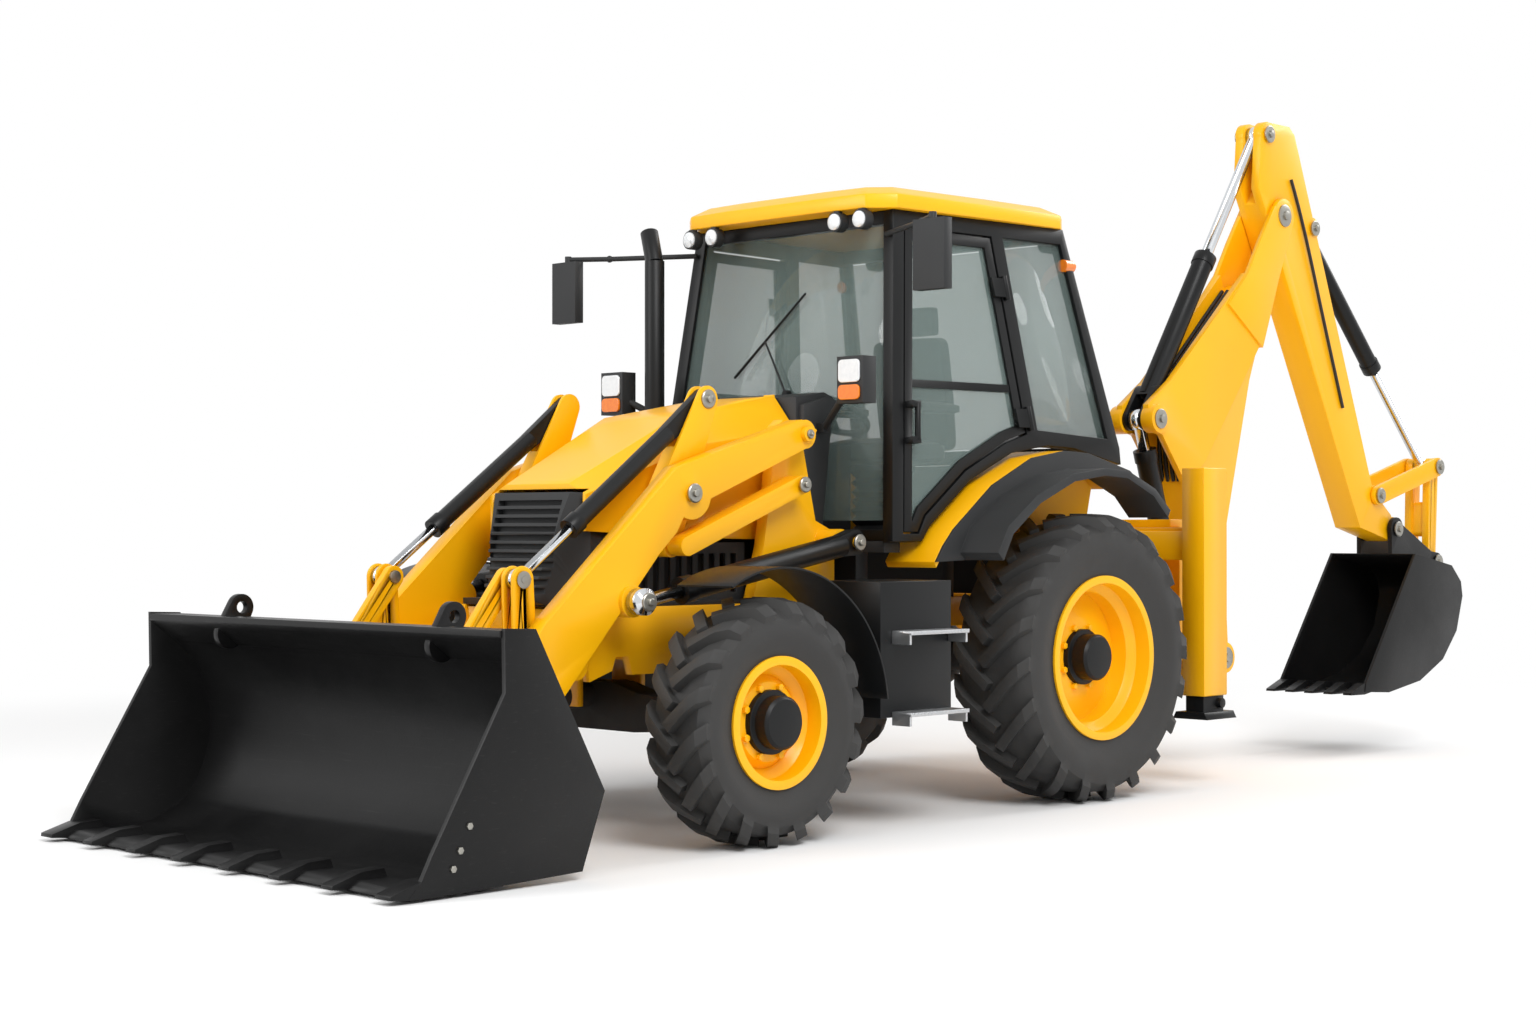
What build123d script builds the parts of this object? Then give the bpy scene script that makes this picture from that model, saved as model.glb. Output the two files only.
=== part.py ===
from build123d import *
import math
import os

# A backhoe loader: front loader, cab, and a side-shifting digging arm at the back.
# Millimetres. +X points forward, +Y to the machine's left and +Z up. Heights are above the ground.
# Distances along X are measured from the rear axle until the pieces are written out.

# Wheels and axles
WHEELBASE = 2150
REAR_TYRE_RADIUS = 662
REAR_TYRE_WIDTH = 430
REAR_RIM_RADIUS = 377
REAR_RIM_WIDTH = 370
REAR_WHEEL_Y = 885
REAR_LUGS = 20
FRONT_TYRE_RADIUS = 492
FRONT_TYRE_WIDTH = 320
FRONT_RIM_RADIUS = 263
FRONT_RIM_WIDTH = 270
FRONT_WHEEL_Y = 958
FRONT_LUGS = 18
LUG_HEIGHT = 38
LUG_THICKNESS = 46
HUB_RADIUS = 128
KINGPIN_Y = 765
KNUCKLE_GAP = 0.5
SEAT_GAP = 0.3

# Chassis
CHASSIS_Y = 420
CHASSIS_PLATE = 40
CHASSIS_TOP = 935
CHASSIS_BOTTOM = 660
CHASSIS_REAR_BOTTOM = 800
CHASSIS_FRONT_X = WHEELBASE + 410
CHASSIS_REAR_X = -760
ENGINE_HALF_WIDTH = 250

# Loader arms and linkage, in the plane of each side
ARM_PIVOT = (1470, 1660)
LINK_PIVOT = (1490, 1443)
LEVER_ON_ARM = (2142, 1400)
LEVER_TOP = (1958, 1796)
LIFT_ROD_PIN = (2481, 965)
LIFT_BASE_PIN = (1250, 1195)
TIPPING_PIVOT = (2934, 661)
TILT_ROD_PIN = (2950, 1057)
BUCKET_PIVOT = (3190, 330)
ARM_INNER_Y = 490
ARM_OUTER_Y = 575
LEVER_INNER_Y = 405
LEVER_OUTER_Y = 477
LIFT_RAM_Y = 640
TIPPING_LINK_Y = 368
PIN_RADIUS = 26
ROD_SHARE = 0.56
CROSS_TUBE = (2690, 712)
CROSS_TUBE_RADIUS = 58

# Loader bucket
BUCKET_HALF_WIDTH = 1175
BUCKET_SIDE_PLATE = 20
BUCKET_SHEET = 14
LOADER_TEETH = 6
LIFT_EYE_Y = 699
LIFT_EYE_RADIUS = 24

# Cab
CAB_FLOOR_Z = 1200
ROOF_UNDERSIDE = 2672
ROOF_THICKNESS = 105
PILLAR = 62
GLASS = 8
DOOR_OPENING_GAP = 10
FENDER_INNER_Y = 600
FENDER_OUTER_Y = 888

# Digging arm
SIDE_SHIFT = 500
SLEW_X = -1360
BOOM_FOOT = (-1660, 580)
BOOM_TIP = (-2231, 2944)
RAM_EARS = (-1050, 1808)
BOOM_RAM_BASE = (-1375, 840)
DIPPER_TOP_PIN = (-2117, 3374)
BUCKET_RAM_PIN = (-2569, 2908)
DIPPER_LEVER_PIN = (-3221, 1442)
DIPPER_END = (-3409, 1251)
LINK_TOP_PIN = (-3893, 1617)
BUCKET_LINK_PIN = (-3868, 1056)
BOOM_PLATE_WIDTH = 150
EYE_ROOM = 37
DIPPER_WIDTH = 160
DIG_BUCKET_WIDTH = 550
DIG_TEETH = 5

# Stabiliser legs
LEG_X = -920
LEG_Y = 985
LEG_DEPTH_X = 195
LEG_WIDTH_Y = 128
LEG_WALL = 12
LEG_TOP = 1550
LEG_BOTTOM = 440
PAD_BOTTOM = 330
PAD_HALF = 100

# The reference point lies under the middle of the whole machine.
DATUM_X = 60

parts = {}


def block(x0, x1, y0, y1, z0, z1):
    centre = ((x0 + x1) / 2, (y0 + y1) / 2, (z0 + z1) / 2)
    return Pos(*centre) * Box(abs(x1 - x0), abs(y1 - y0), abs(z1 - z0))


def side_face(points, y=0):
    return make_face(Polyline(*[(px, y, pz) for px, pz in points], close=True))


def side_plate(points, y0, y1):
    """A plate whose outline is drawn from the side, between two distances across."""
    low, high = min(y0, y1), max(y0, y1)
    return extrude(side_face(points, low), amount=high - low, dir=(0, 1, 0))


def plan_plate(points, z0, z1):
    """A plate whose outline is drawn from above."""
    face = make_face(Polyline(*[(px, py, z0) for px, py in points], close=True))
    return extrude(face, amount=z1 - z0, dir=(0, 0, 1))


def front_plate(points, x0, x1):
    """A plate whose outline is drawn from the front."""
    face = make_face(Polyline(*[(x0, py, pz) for py, pz in points], close=True))
    return extrude(face, amount=x1 - x0, dir=(1, 0, 0))


def cross_pin(centre, y0, y1, radius):
    """A round bar that lies across the machine."""
    low, high = min(y0, y1), max(y0, y1)
    place = Plane(origin=(centre[0], low, centre[1]), z_dir=(0, 1, 0))
    return place * Cylinder(radius, high - low, align=(Align.CENTER, Align.CENTER, Align.MIN))


def bar(start, end, radius):
    """A round bar between two points."""
    along = Vector(*end) - Vector(*start)
    place = Plane(origin=start, z_dir=along)
    return place * Cylinder(radius, along.length, align=(Align.CENTER, Align.CENTER, Align.MIN))


def link_outline(p, q, rp, rq):
    """The corners of a bar that is tangent to a circle at each end."""
    dx, dz = q[0] - p[0], q[1] - p[1]
    length = math.hypot(dx, dz)
    turn = math.acos((rp - rq) / length)
    base = math.atan2(dz, dx)
    corners = []
    for centre, radius, side in ((p, rp, 1), (q, rq, 1), (q, rq, -1), (p, rp, -1)):
        angle = base + side * turn
        corners.append((centre[0] + radius * math.cos(angle), centre[1] + radius * math.sin(angle)))
    return corners


def link_bar(p, q, rp, rq, y0, y1):
    """A flat link with a round boss at each end."""
    middle = side_plate(link_outline(p, q, rp, rq), y0, y1)
    return middle + cross_pin(p, y0, y1, rp) + cross_pin(q, y0, y1, rq)


def between(p, q, share):
    return (p[0] + (q[0] - p[0]) * share, p[1] + (q[1] - p[1]) * share)


def toward(p, q, distance):
    length = math.hypot(q[0] - p[0], q[1] - p[1])
    return between(p, q, distance / length)


def at_y(p, y):
    return (p[0], y, p[1])


def ram_barrel(base, rod_pin, y, radius, barrel_length, eye_radius, eye_width, neck, pin=PIN_RADIUS, split=0):
    """A ram's barrel: a base lug, which may be split round another eye, an end gland and the rod's bore."""
    lug_end = toward(base, rod_pin, neck + 15)
    body = link_bar(base, lug_end, eye_radius, radius * 0.9, y - eye_width / 2, y + eye_width / 2)
    if split:
        body -= cross_pin(base, y - split, y + split, neck - 6)
    start = toward(base, rod_pin, neck)
    end = toward(base, rod_pin, barrel_length)
    body += bar(at_y(start, y), at_y(end, y), radius)
    gland_start = toward(base, rod_pin, barrel_length - 60)
    body += bar(at_y(gland_start, y), at_y(end, y), radius + 6)
    body -= cross_pin(base, y - eye_width, y + eye_width, pin + SEAT_GAP)
    bore_start = toward(base, rod_pin, neck + 40)
    bore_end = toward(base, rod_pin, barrel_length + 10)
    return body - bar(at_y(bore_start, y), at_y(bore_end, y), radius * ROD_SHARE + SEAT_GAP)


def ram_rod(base, rod_pin, y, radius, start_length, eye_radius, eye_width):
    """A ram's polished rod with the eye at its end, its bush closed."""
    start = toward(base, rod_pin, start_length)
    end = toward(rod_pin, base, eye_radius * 0.8)
    body = bar(at_y(start, y), at_y(end, y), radius * ROD_SHARE)
    return body + cross_pin(rod_pin, y - eye_width / 2, y + eye_width / 2, eye_radius)


def both_sides(shape):
    return [shape, mirror(shape, about=Plane.XZ)]


def revolved_about_axle(points):
    """A solid of revolution about Y, from corners given as radius and distance across."""
    face = make_face(Polyline(*[(r, y, 0) for r, y in points], close=True))
    return revolve(face, axis=Axis.Y)


# Tyres: a carcass with two rows of slanted bars that meet near the middle
def tyre(radius, width, rim_radius, rim_width, lugs):
    carcass = radius - LUG_HEIGHT
    seat = rim_radius - 22 + SEAT_GAP
    bead = rim_width / 2 - 12 - SEAT_GAP
    half = width / 2
    middle = (rim_radius + carcass) / 2
    profile = [
        (seat, -bead), (rim_radius + 6, -bead), (middle, -half + 4), (carcass - 48, -half + 10),
        (carcass - 12, -half * 0.74), (carcass, -half * 0.4),
    ]
    profile += [(r, -y) for r, y in reversed(profile)]
    body = revolved_about_axle(profile)
    envelope = [
        (carcass - 60, -half + 14), (carcass - 22, -half), (radius - 16, -half * 0.86), (radius, -half * 0.62),
    ]
    envelope += [(r, -y) for r, y in reversed(envelope)]
    ring = revolved_about_axle(envelope)
    bars = []
    for i in range(lugs):
        for side in (-1, 1):
            turn = 360 / lugs * (i + (0.5 if side > 0 else 0))
            length = half * 1.55
            place = Rot(0, turn, 0) * Pos(radius - 40, side * half * 0.52, 0) * Rot(side * 42, 0, 0)
            bars.append(place * Box(150, length, LUG_THICKNESS))
    treads = [lug & ring for lug in bars]
    return body.fuse(*treads)


# Rims: a deep dish with a black planetary hub standing proud in it
def rim(rim_radius, rim_width, disc_y, hub_out, nuts):
    half = rim_width / 2
    seat = rim_radius - 22
    well = rim_radius - 62
    shell = 13
    outer = [
        (rim_radius, -half), (rim_radius, -half + 12), (seat, -half + 12), (seat, -half + 70),
        (well, -half + 100), (well, half - 100), (seat, half - 70), (seat, half - 12),
        (rim_radius, half - 12), (rim_radius, half),
    ]
    inner = [
        (seat - shell, half), (seat - shell, half - 76), (well - shell, half - 106),
        (well - shell, -half + 106), (seat - shell, -half + 76), (seat - shell, -half),
    ]
    body = revolved_about_axle(outer + inner)
    disc = [
        (HUB_RADIUS - 40, disc_y), (HUB_RADIUS + 30, disc_y), (well - 6, disc_y - 46),
        (well - 6, disc_y - 60), (HUB_RADIUS + 26, disc_y - 16), (HUB_RADIUS - 40, disc_y - 16),
    ]
    body += revolved_about_axle(disc)
    drum = [
        (0, hub_out), (HUB_RADIUS - 34, hub_out), (HUB_RADIUS - 22, hub_out - 12),
        (HUB_RADIUS - 22, disc_y + 30), (HUB_RADIUS, disc_y + 26), (HUB_RADIUS, disc_y - 60), (0, disc_y - 60),
    ]
    body += revolved_about_axle(drum)
    for i in range(nuts):
        angle = 2 * math.pi * (i + 0.5) / nuts
        reach = HUB_RADIUS + 17
        place = Plane(origin=(reach * math.cos(angle), disc_y, reach * math.sin(angle)), z_dir=(0, 1, 0))
        nut = place * extrude(RegularPolygon(15, 6), amount=20)
        body += nut
    return body


front_tyre = tyre(FRONT_TYRE_RADIUS, FRONT_TYRE_WIDTH, FRONT_RIM_RADIUS, FRONT_RIM_WIDTH, FRONT_LUGS)
rear_tyre = tyre(REAR_TYRE_RADIUS, REAR_TYRE_WIDTH, REAR_RIM_RADIUS, REAR_RIM_WIDTH, REAR_LUGS)
front_rim = rim(FRONT_RIM_RADIUS, FRONT_RIM_WIDTH, 62, 158, 8)
rear_rim = rim(REAR_RIM_RADIUS, REAR_RIM_WIDTH, 40, 150, 8)
for name, side in (("left", 1), ("right", -1)):
    turned = Rot(0, 0, 0 if side > 0 else 180)
    front_place = Pos(WHEELBASE, side * FRONT_WHEEL_Y, FRONT_TYRE_RADIUS) * turned
    rear_place = Pos(0, side * REAR_WHEEL_Y, REAR_TYRE_RADIUS) * turned
    parts["front_tyre_" + name] = [front_place * front_tyre]
    parts["front_rim_" + name] = [front_place * front_rim]
    parts["rear_tyre_" + name] = [rear_place * rear_tyre]
    parts["rear_rim_" + name] = [rear_place * rear_rim]

# Front axle: a cast beam on a centre pivot, with a round kingpin boss at each end
AXLE_Z = FRONT_TYRE_RADIUS
BOSS_HALF = 78
beam_outline = [
    (-KINGPIN_Y, AXLE_Z - 50), (-KINGPIN_Y, AXLE_Z + 50), (-330, AXLE_Z + 78), (-160, AXLE_Z + 120),
    (160, AXLE_Z + 120), (330, AXLE_Z + 78), (KINGPIN_Y, AXLE_Z + 50), (KINGPIN_Y, AXLE_Z - 50),
    (300, AXLE_Z - 82), (-300, AXLE_Z - 82),
]
front_axle = front_plate(beam_outline, WHEELBASE - 62, WHEELBASE + 62)
for side in (-1, 1):
    front_axle += Pos(WHEELBASE, side * KINGPIN_Y, AXLE_Z) * Cylinder(58, 2 * BOSS_HALF)
front_axle += bar((WHEELBASE - 190, 0, AXLE_Z + 60), (WHEELBASE + 190, 0, AXLE_Z + 60), 55)
front_axle += bar((WHEELBASE - 95, -300, AXLE_Z), (WHEELBASE - 95, 300, AXLE_Z), 38)

# Knuckles: ears above and below the kingpin boss, joined outside it, with the wheel's spindle
def knuckle(side):
    def span(a, b):
        return (side * a, side * b) if side > 0 else (side * b, side * a)
    ear_low = BOSS_HALF + KNUCKLE_GAP
    ear_high = ear_low + 30
    outer = span(KINGPIN_Y, KINGPIN_Y + 92)
    body = None
    for sign in (-1, 1):
        z0, z1 = sorted((AXLE_Z + sign * ear_low, AXLE_Z + sign * ear_high))
        ear = block(WHEELBASE - 56, WHEELBASE + 56, *outer, z0, z1)
        ear += Pos(WHEELBASE, side * KINGPIN_Y, (z0 + z1) / 2) * Cylinder(56, z1 - z0)
        body = ear if body is None else body + ear
    plate = span(KINGPIN_Y + 68, KINGPIN_Y + 92)
    body += block(WHEELBASE - 56, WHEELBASE + 56, *plate, AXLE_Z - ear_high, AXLE_Z + ear_high)
    spindle_end = FRONT_WHEEL_Y + 62 - 60 - SEAT_GAP
    body += bar((WHEELBASE, side * (KINGPIN_Y + 70), AXLE_Z), (WHEELBASE, side * spindle_end, AXLE_Z), 70)
    return body


for name, side in (("left", 1), ("right", -1)):
    parts["knuckle_" + name] = [knuckle(side)]

# Rear axle: a housing with a centre bulge, trumpets and mounting pads under the chassis
REAR_AXLE_Z = REAR_TYRE_RADIUS
rear_end_y = REAR_WHEEL_Y + 40 - 60 - SEAT_GAP
rear_axle = bar((0, -rear_end_y, REAR_AXLE_Z), (0, rear_end_y, REAR_AXLE_Z), 95)
rear_axle += Pos(0, 0, REAR_AXLE_Z - 10) * Sphere(185)
for side in (-1, 1):
    rear_axle += bar((0, side * 590, REAR_AXLE_Z), (0, side * 660, REAR_AXLE_Z), 150)
    pad = block(-95, 95, side * (CHASSIS_Y - CHASSIS_PLATE - 20), side * (CHASSIS_Y + 10), REAR_AXLE_Z, CHASSIS_REAR_BOTTOM)
    rear_axle += pad
parts["axles"] = [front_axle, rear_axle]

# Chassis: two long side plates with cross members, loader towers and the front nose
chassis_outline = [
    (CHASSIS_REAR_X, CHASSIS_REAR_BOTTOM), (CHASSIS_REAR_X, CHASSIS_TOP), (CHASSIS_FRONT_X, CHASSIS_TOP),
    (CHASSIS_FRONT_X + 30, CHASSIS_TOP - 60), (CHASSIS_FRONT_X, CHASSIS_BOTTOM - 20),
    (CHASSIS_FRONT_X - 60, CHASSIS_BOTTOM), (CHASSIS_FRONT_X - 120, CHASSIS_BOTTOM + 20),
    (CHASSIS_FRONT_X - 140, CHASSIS_BOTTOM + 75), (CHASSIS_FRONT_X - 210, CHASSIS_BOTTOM + 75),
    (CHASSIS_FRONT_X - 230, CHASSIS_BOTTOM), (900, CHASSIS_BOTTOM),
    (700, CHASSIS_REAR_BOTTOM),
]
chassis = side_plate(chassis_outline, CHASSIS_Y - CHASSIS_PLATE, CHASSIS_Y)
chassis += side_plate(chassis_outline, -CHASSIS_Y, -CHASSIS_Y + CHASSIS_PLATE)
inner = CHASSIS_Y - CHASSIS_PLATE
for x0, x1, z0, z1 in (
    (CHASSIS_FRONT_X - 70, CHASSIS_FRONT_X - 10, CHASSIS_BOTTOM + 10, CHASSIS_TOP - 10),
    (WHEELBASE + 200, WHEELBASE + 250, CHASSIS_BOTTOM + 90, CHASSIS_TOP - 60),
    (560, 620, CHASSIS_REAR_BOTTOM + 10, CHASSIS_TOP - 20),
    (-700, -640, CHASSIS_REAR_BOTTOM + 10, CHASSIS_TOP - 20),
):
    chassis += block(x0, x1, -inner, inner, z0, z1)
for x in (WHEELBASE - 190, WHEELBASE + 160):
    hanger = block(x, x + 30, -90, 90, AXLE_Z + 20, CHASSIS_BOTTOM + 100)
    hanger += block(x, x + 30, -inner, inner, CHASSIS_BOTTOM + 60, CHASSIS_BOTTOM + 100)
    chassis += hanger - bar((x - 5, 0, AXLE_Z + 60), (x + 35, 0, AXLE_Z + 60), 55 + SEAT_GAP)
tower_outline = [
    (1180, CHASSIS_TOP - 40), (1180, 1240), (1300, 1290), (1400, 1700), (1440, 1725), (1500, 1725),
    (1545, 1690), (1575, 1430), (1620, 1180), (1700, CHASSIS_TOP - 40),
]
TOWER_INNER_Y = CHASSIS_Y - 10
TOWER_OUTER_Y = 470
for side in (-1, 1):
    tower = side_plate(tower_outline, side * TOWER_INNER_Y, side * TOWER_OUTER_Y)
    tower += cross_pin(ARM_PIVOT, side * TOWER_INNER_Y, side * (ARM_OUTER_Y + 25), PIN_RADIUS + 6)
    tower += cross_pin(LINK_PIVOT, side * TOWER_INNER_Y, side * (ARM_OUTER_Y + 14), PIN_RADIUS - 4)
    tower += cross_pin(LIFT_BASE_PIN, side * TOWER_INNER_Y, side * (LIFT_RAM_Y + 45), PIN_RADIUS)
    tower += cross_pin(LIFT_BASE_PIN, side * TOWER_OUTER_Y, side * (LIFT_RAM_Y - 62), 58)
    chassis += tower
parts["chassis_frame"] = [chassis]

# Engine and gearbox: one plain block at its real place
engine = block(1420, 2240, -ENGINE_HALF_WIDTH, ENGINE_HALF_WIDTH, 850, 1390)
engine += block(1420, 1900, -200, 200, 700, 850)
gearbox = block(760, 1420, -210, 210, 520, 900)
mount_edge = CHASSIS_Y - CHASSIS_PLATE - SEAT_GAP
engine += block(1600, 1700, -mount_edge, mount_edge, 780, 870)
gearbox += block(900, 980, -mount_edge, mount_edge, 700, 760)
parts["engine_block"] = [engine + gearbox]

# Front grille: a dark housing that leans forward at the bottom, with level slots
GRILLE_HALF = 288
grille_side = [(2320, 950), (2320, 1395), (2512, 1405), (2648, 965), (2600, 945)]
grille = side_plate(grille_side, -GRILLE_HALF, GRILLE_HALF)
for side in (-1, 1):
    corner = [(2440, side * (GRILLE_HALF + 1)), (2700, side * (GRILLE_HALF + 1)), (2700, side * 120)]
    grille -= plan_plate(corner, 900, 1500)
grille += block(2330, 2560, -400, 400, CHASSIS_TOP + SEAT_GAP, 962)
slots = 11
for i in range(slots):
    low = 990 + i * 36
    reach = 2512 + (1405 - low) * (136 / 440)
    grille -= block(reach - 42, reach + 60, -205, 205, low, low + 22)

# Side grilles: louvred panels under the bonnet
side_grilles = []
for side in (-1, 1):
    panel = block(1640, 2290, side * 356, side * 372, CHASSIS_TOP + SEAT_GAP, 1196)
    panel += block(1640, 2290, side * 372, side * 400, CHASSIS_TOP + SEAT_GAP, 952)
    for i in range(9):
        x = 1690 + i * 64
        panel -= block(x, x + 34, side * 350, side * 380, 985, 1150)
    side_grilles.append(panel)
parts["grilles"] = [grille] + side_grilles

# Bonnet: a tapering shell that lifts at the front
HOOD_REAR_X = 1335
HOOD_FRONT_X = 2485
HOOD_REAR_TOP = 1842
HOOD_HINGE_Y = 220


def hood_section(x, half, low, shoulder, top, shrink):
    corners = [
        (half - shrink, low), (half - shrink, shoulder - shrink * 0.4), (half * 0.66, top - shrink),
        (-half * 0.66, top - shrink), (-half + shrink, shoulder - shrink * 0.4), (-half + shrink, low),
    ]
    return make_face(Polyline(*[(x, y, z) for y, z in corners], close=True))


def hood_body(shrink, low_shift, x_shift):
    return loft([
        hood_section(HOOD_REAR_X - x_shift, 380, 1205 - low_shift, 1690, HOOD_REAR_TOP, shrink),
        hood_section(1900, 368, 1215 - low_shift, 1610, 1742, shrink),
        hood_section(HOOD_FRONT_X - shrink, 307, 1245 - low_shift, 1395, 1440, shrink),
    ], ruled=True)


hood = hood_body(0, 0, 0) - hood_body(16, 40, 40)
hood -= block(2300, 2500, -290, 290, 1150, 1418)
for y in (-HOOD_HINGE_Y, HOOD_HINGE_Y):
    hood += cross_pin((HOOD_REAR_X, HOOD_REAR_TOP), y - 30, y + 30, 6)
parts["hood"] = [hood]

# Cowl: the dark bulkhead between the bonnet and the windscreen
cowl = side_plate([(1150, 940), (1145, 1300), (1078, 1840), (1140, 1862), (1322, 1835), (1322, 940)], -372, 372)
cowl += block(1160, 1320, -400, 400, CHASSIS_TOP + SEAT_GAP, 1000)
for y in (-HOOD_HINGE_Y, HOOD_HINGE_Y):
    cowl += block(1290, HOOD_REAR_X - SEAT_GAP, y - 30, y + 30, 1800, 1835)
cowl += side_plate([(1180, 1250), (1130, 1700), (1085, 1825), (1150, 1840), (1300, 1800), (1300, 1300)], -400, 400)

# Cab sides: one flat plane on each side, leaning inwards and narrowing to the front
SIDE_AT_ZERO = 979
SIDE_PER_X = -0.0737
SIDE_PER_Z = -0.1047
SIDE_NORMAL = Vector(-SIDE_PER_X, 1, -SIDE_PER_Z).normalized()


def side_y(x, z):
    return SIDE_AT_ZERO + SIDE_PER_X * x + SIDE_PER_Z * z


def cab_panel(points, inset, thickness):
    """A plate in the left side's plane, set in from the outer face."""
    shift = SIDE_NORMAL * -inset
    corners = [Vector(x, side_y(x, z), z) + shift for x, z in points]
    face = make_face(Polyline(*[tuple(c) for c in corners], close=True))
    return extrude(face, amount=thickness, dir=tuple(SIDE_NORMAL * -1))


def inward(points, gap):
    """The same outline drawn in by a gap, for a shape that its middle sees whole."""
    face = make_face(Polyline(*[(px, pz, 0) for px, pz in points], close=True))
    smaller = offset(face, amount=-gap, kind=Kind.INTERSECTION)
    ordered = smaller.faces()[0].outer_wire().order_edges()
    return [(edge.position_at(0).X, edge.position_at(0).Y) for edge in ordered]


def a_front(z):
    return 1130 - 0.111 * (z - 1200)


def b_rear(z):
    return 80 + 0.147 * (z - 1200)


CAB_TOP = ROOF_UNDERSIDE - SEAT_GAP
shell_outline = [
    (a_front(1200), 1200), (a_front(CAB_TOP), CAB_TOP), (-150, CAB_TOP), (-425, 1640), (-425, 1560), (-100, 1632),
    (80, 1640), (330, 1600), (620, 1470), (890, 1270), (950, 1200),
]
door_hole = [
    (1062, 1232), (a_front(2600) - 68, 2600), (b_rear(2600) + 60, 2600), (b_rear(1700) + 60, 1690),
    (360, 1645), (640, 1512), (915, 1310), (965, 1232),
]
quarter_hole = [(b_rear(2600) - 14, 2600), (b_rear(1720) - 14, 1710), (-345, 1680), (-125, 2600)]
side_shell = cab_panel(shell_outline, 0, PILLAR)
side_shell -= cab_panel(door_hole, -20, PILLAR + 60)
side_shell -= cab_panel(quarter_hole, -20, PILLAR + 60)
cab_frame = side_shell + mirror(side_shell, about=Plane.XZ)


def cross_rail(x, z, width_x, height_z, trim):
    reach = side_y(x, z) - trim
    return block(x - width_x / 2, x + width_x / 2, -reach, reach, z - height_z / 2, z + height_z / 2)


cab_frame += cross_rail(a_front(CAB_TOP) - 40, CAB_TOP - 30, 60, 60, 30)
cab_frame += cross_rail(-120, CAB_TOP - 30, 60, 60, 30)
cab_frame += cross_rail(-395, 1610, 56, 70, 40)
cab_frame += cross_rail(1080, 1225, 60, 50, 30)
parts["cab_frame"] = [cab_frame]

# Cab floor and rear bulkhead
FLOOR_TOP = CAB_FLOOR_Z - SEAT_GAP
FLOOR_EDGE = FENDER_INNER_Y - SEAT_GAP
floor = plan_plate([
    (1110, 70 - side_y(1110, 1200)), (1110, side_y(1110, 1200) - 70), (1012, side_y(1012, 1200) - 70),
    (1008, FLOOR_EDGE), (-300, FLOOR_EDGE), (-300, -FLOOR_EDGE), (1008, -FLOOR_EDGE), (1012, 70 - side_y(1012, 1200)),
], 1150, FLOOR_TOP)
floor += block(-360, -300, -FLOOR_EDGE, FLOOR_EDGE, 1150, 1570)
for x in (-250, 300, 900):
    floor += block(x, x + 80, -330, 330, CHASSIS_TOP + SEAT_GAP, 1150)
    for side in (-1, 1):
        floor += block(x, x + 80, side * 330, side * (CHASSIS_Y - 5), CHASSIS_TOP + SEAT_GAP, 1150)
parts["cab_base"] = [cowl, floor]

# Cab glass: windscreen, quarter panes and rear window
screen_low, screen_high = 1290, 2606
PANE_INSET = PILLAR / SIDE_NORMAL.Y + SEAT_GAP


def screen_corner(side, z, inset):
    return (a_front(z) - 30, side * (side_y(a_front(z) - 24, z) - inset), z)


screen_points = [
    screen_corner(-1, screen_low, PANE_INSET), screen_corner(1, screen_low, PANE_INSET),
    screen_corner(1, screen_high, PANE_INSET), screen_corner(-1, screen_high, PANE_INSET),
]
windscreen = extrude(make_face(Polyline(*screen_points, close=True)), amount=GLASS, dir=(1, 0, 0.11))
quarter_pane = cab_panel(inward(quarter_hole, SEAT_GAP), 20, GLASS)


def rear_corner(side, z):
    x = -135 - (CAB_TOP - z) * 0.266
    return (x, side * (side_y(x, z) - PANE_INSET), z)


rear_points = [rear_corner(-1, 1650), rear_corner(1, 1650), rear_corner(1, 2606), rear_corner(-1, 2606)]
rear_pane = extrude(make_face(Polyline(*rear_points, close=True)), amount=GLASS, dir=(-1, 0, 0.26))
parts["cab_glass"] = [windscreen, quarter_pane, mirror(quarter_pane, about=Plane.XZ), rear_pane]

# Doors: a dark frame round a tall pane, with a waist rail, grab bar and latch
door_outline = inward(door_hole, DOOR_OPENING_GAP)
door_pane = inward(door_hole, DOOR_OPENING_GAP + 46)
door = cab_panel(door_outline, 4, 40)
door -= cab_panel(door_pane, -10, 80)
door += cab_panel(inward(door_hole, DOOR_OPENING_GAP + 43), 18, GLASS)
rail_low, rail_high = 1882, 1916
door += cab_panel([
    (a_front(rail_low) - 100, rail_low), (a_front(rail_high) - 100, rail_high),
    (b_rear(rail_high) + 90, rail_high), (b_rear(rail_low) + 90, rail_low),
], 10, 26)
for z in (1640, 1800):
    lug_x = a_front(z) - 118
    door += cab_panel([(lug_x - 14, z - 14), (lug_x + 40, z - 14), (lug_x + 40, z + 14), (lug_x - 14, z + 14)], -44, 50)
grab_low = (a_front(1640) - 118, 1640)
grab_high = (a_front(1800) - 118, 1800)
outside = SIDE_NORMAL * 36
ends = [Vector(x, side_y(x, z), z) + outside for x, z in (grab_low, grab_high)]
door += bar(tuple(ends[0]), tuple(ends[1]), 13)
HINGE_RADIUS = 14
for z in (1760, 2360):
    z0, z1 = z - 55, z + 55
    hinge_shift = SIDE_NORMAL * (HINGE_RADIUS + SEAT_GAP)
    hinge_ends = [Vector(b_rear(h) + 44, side_y(b_rear(h) + 44, h), h) + hinge_shift for h in (z0, z1)]
    door += bar(tuple(hinge_ends[0]), tuple(hinge_ends[1]), HINGE_RADIUS)
    door += cab_panel([
        (b_rear(z0) + 46, z0 + 12), (b_rear(z0) + 130, z0 + 12), (b_rear(z1) + 130, z1 - 12), (b_rear(z1) + 46, z1 - 12),
    ], -20, 12)
    door += cab_panel([
        (b_rear(z0) + 76, z0 + 12), (b_rear(z0) + 104, z0 + 12), (b_rear(z1) + 104, z1 - 12), (b_rear(z1) + 76, z1 - 12),
    ], -14, 30)
parts["door_left"] = [door]
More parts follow.
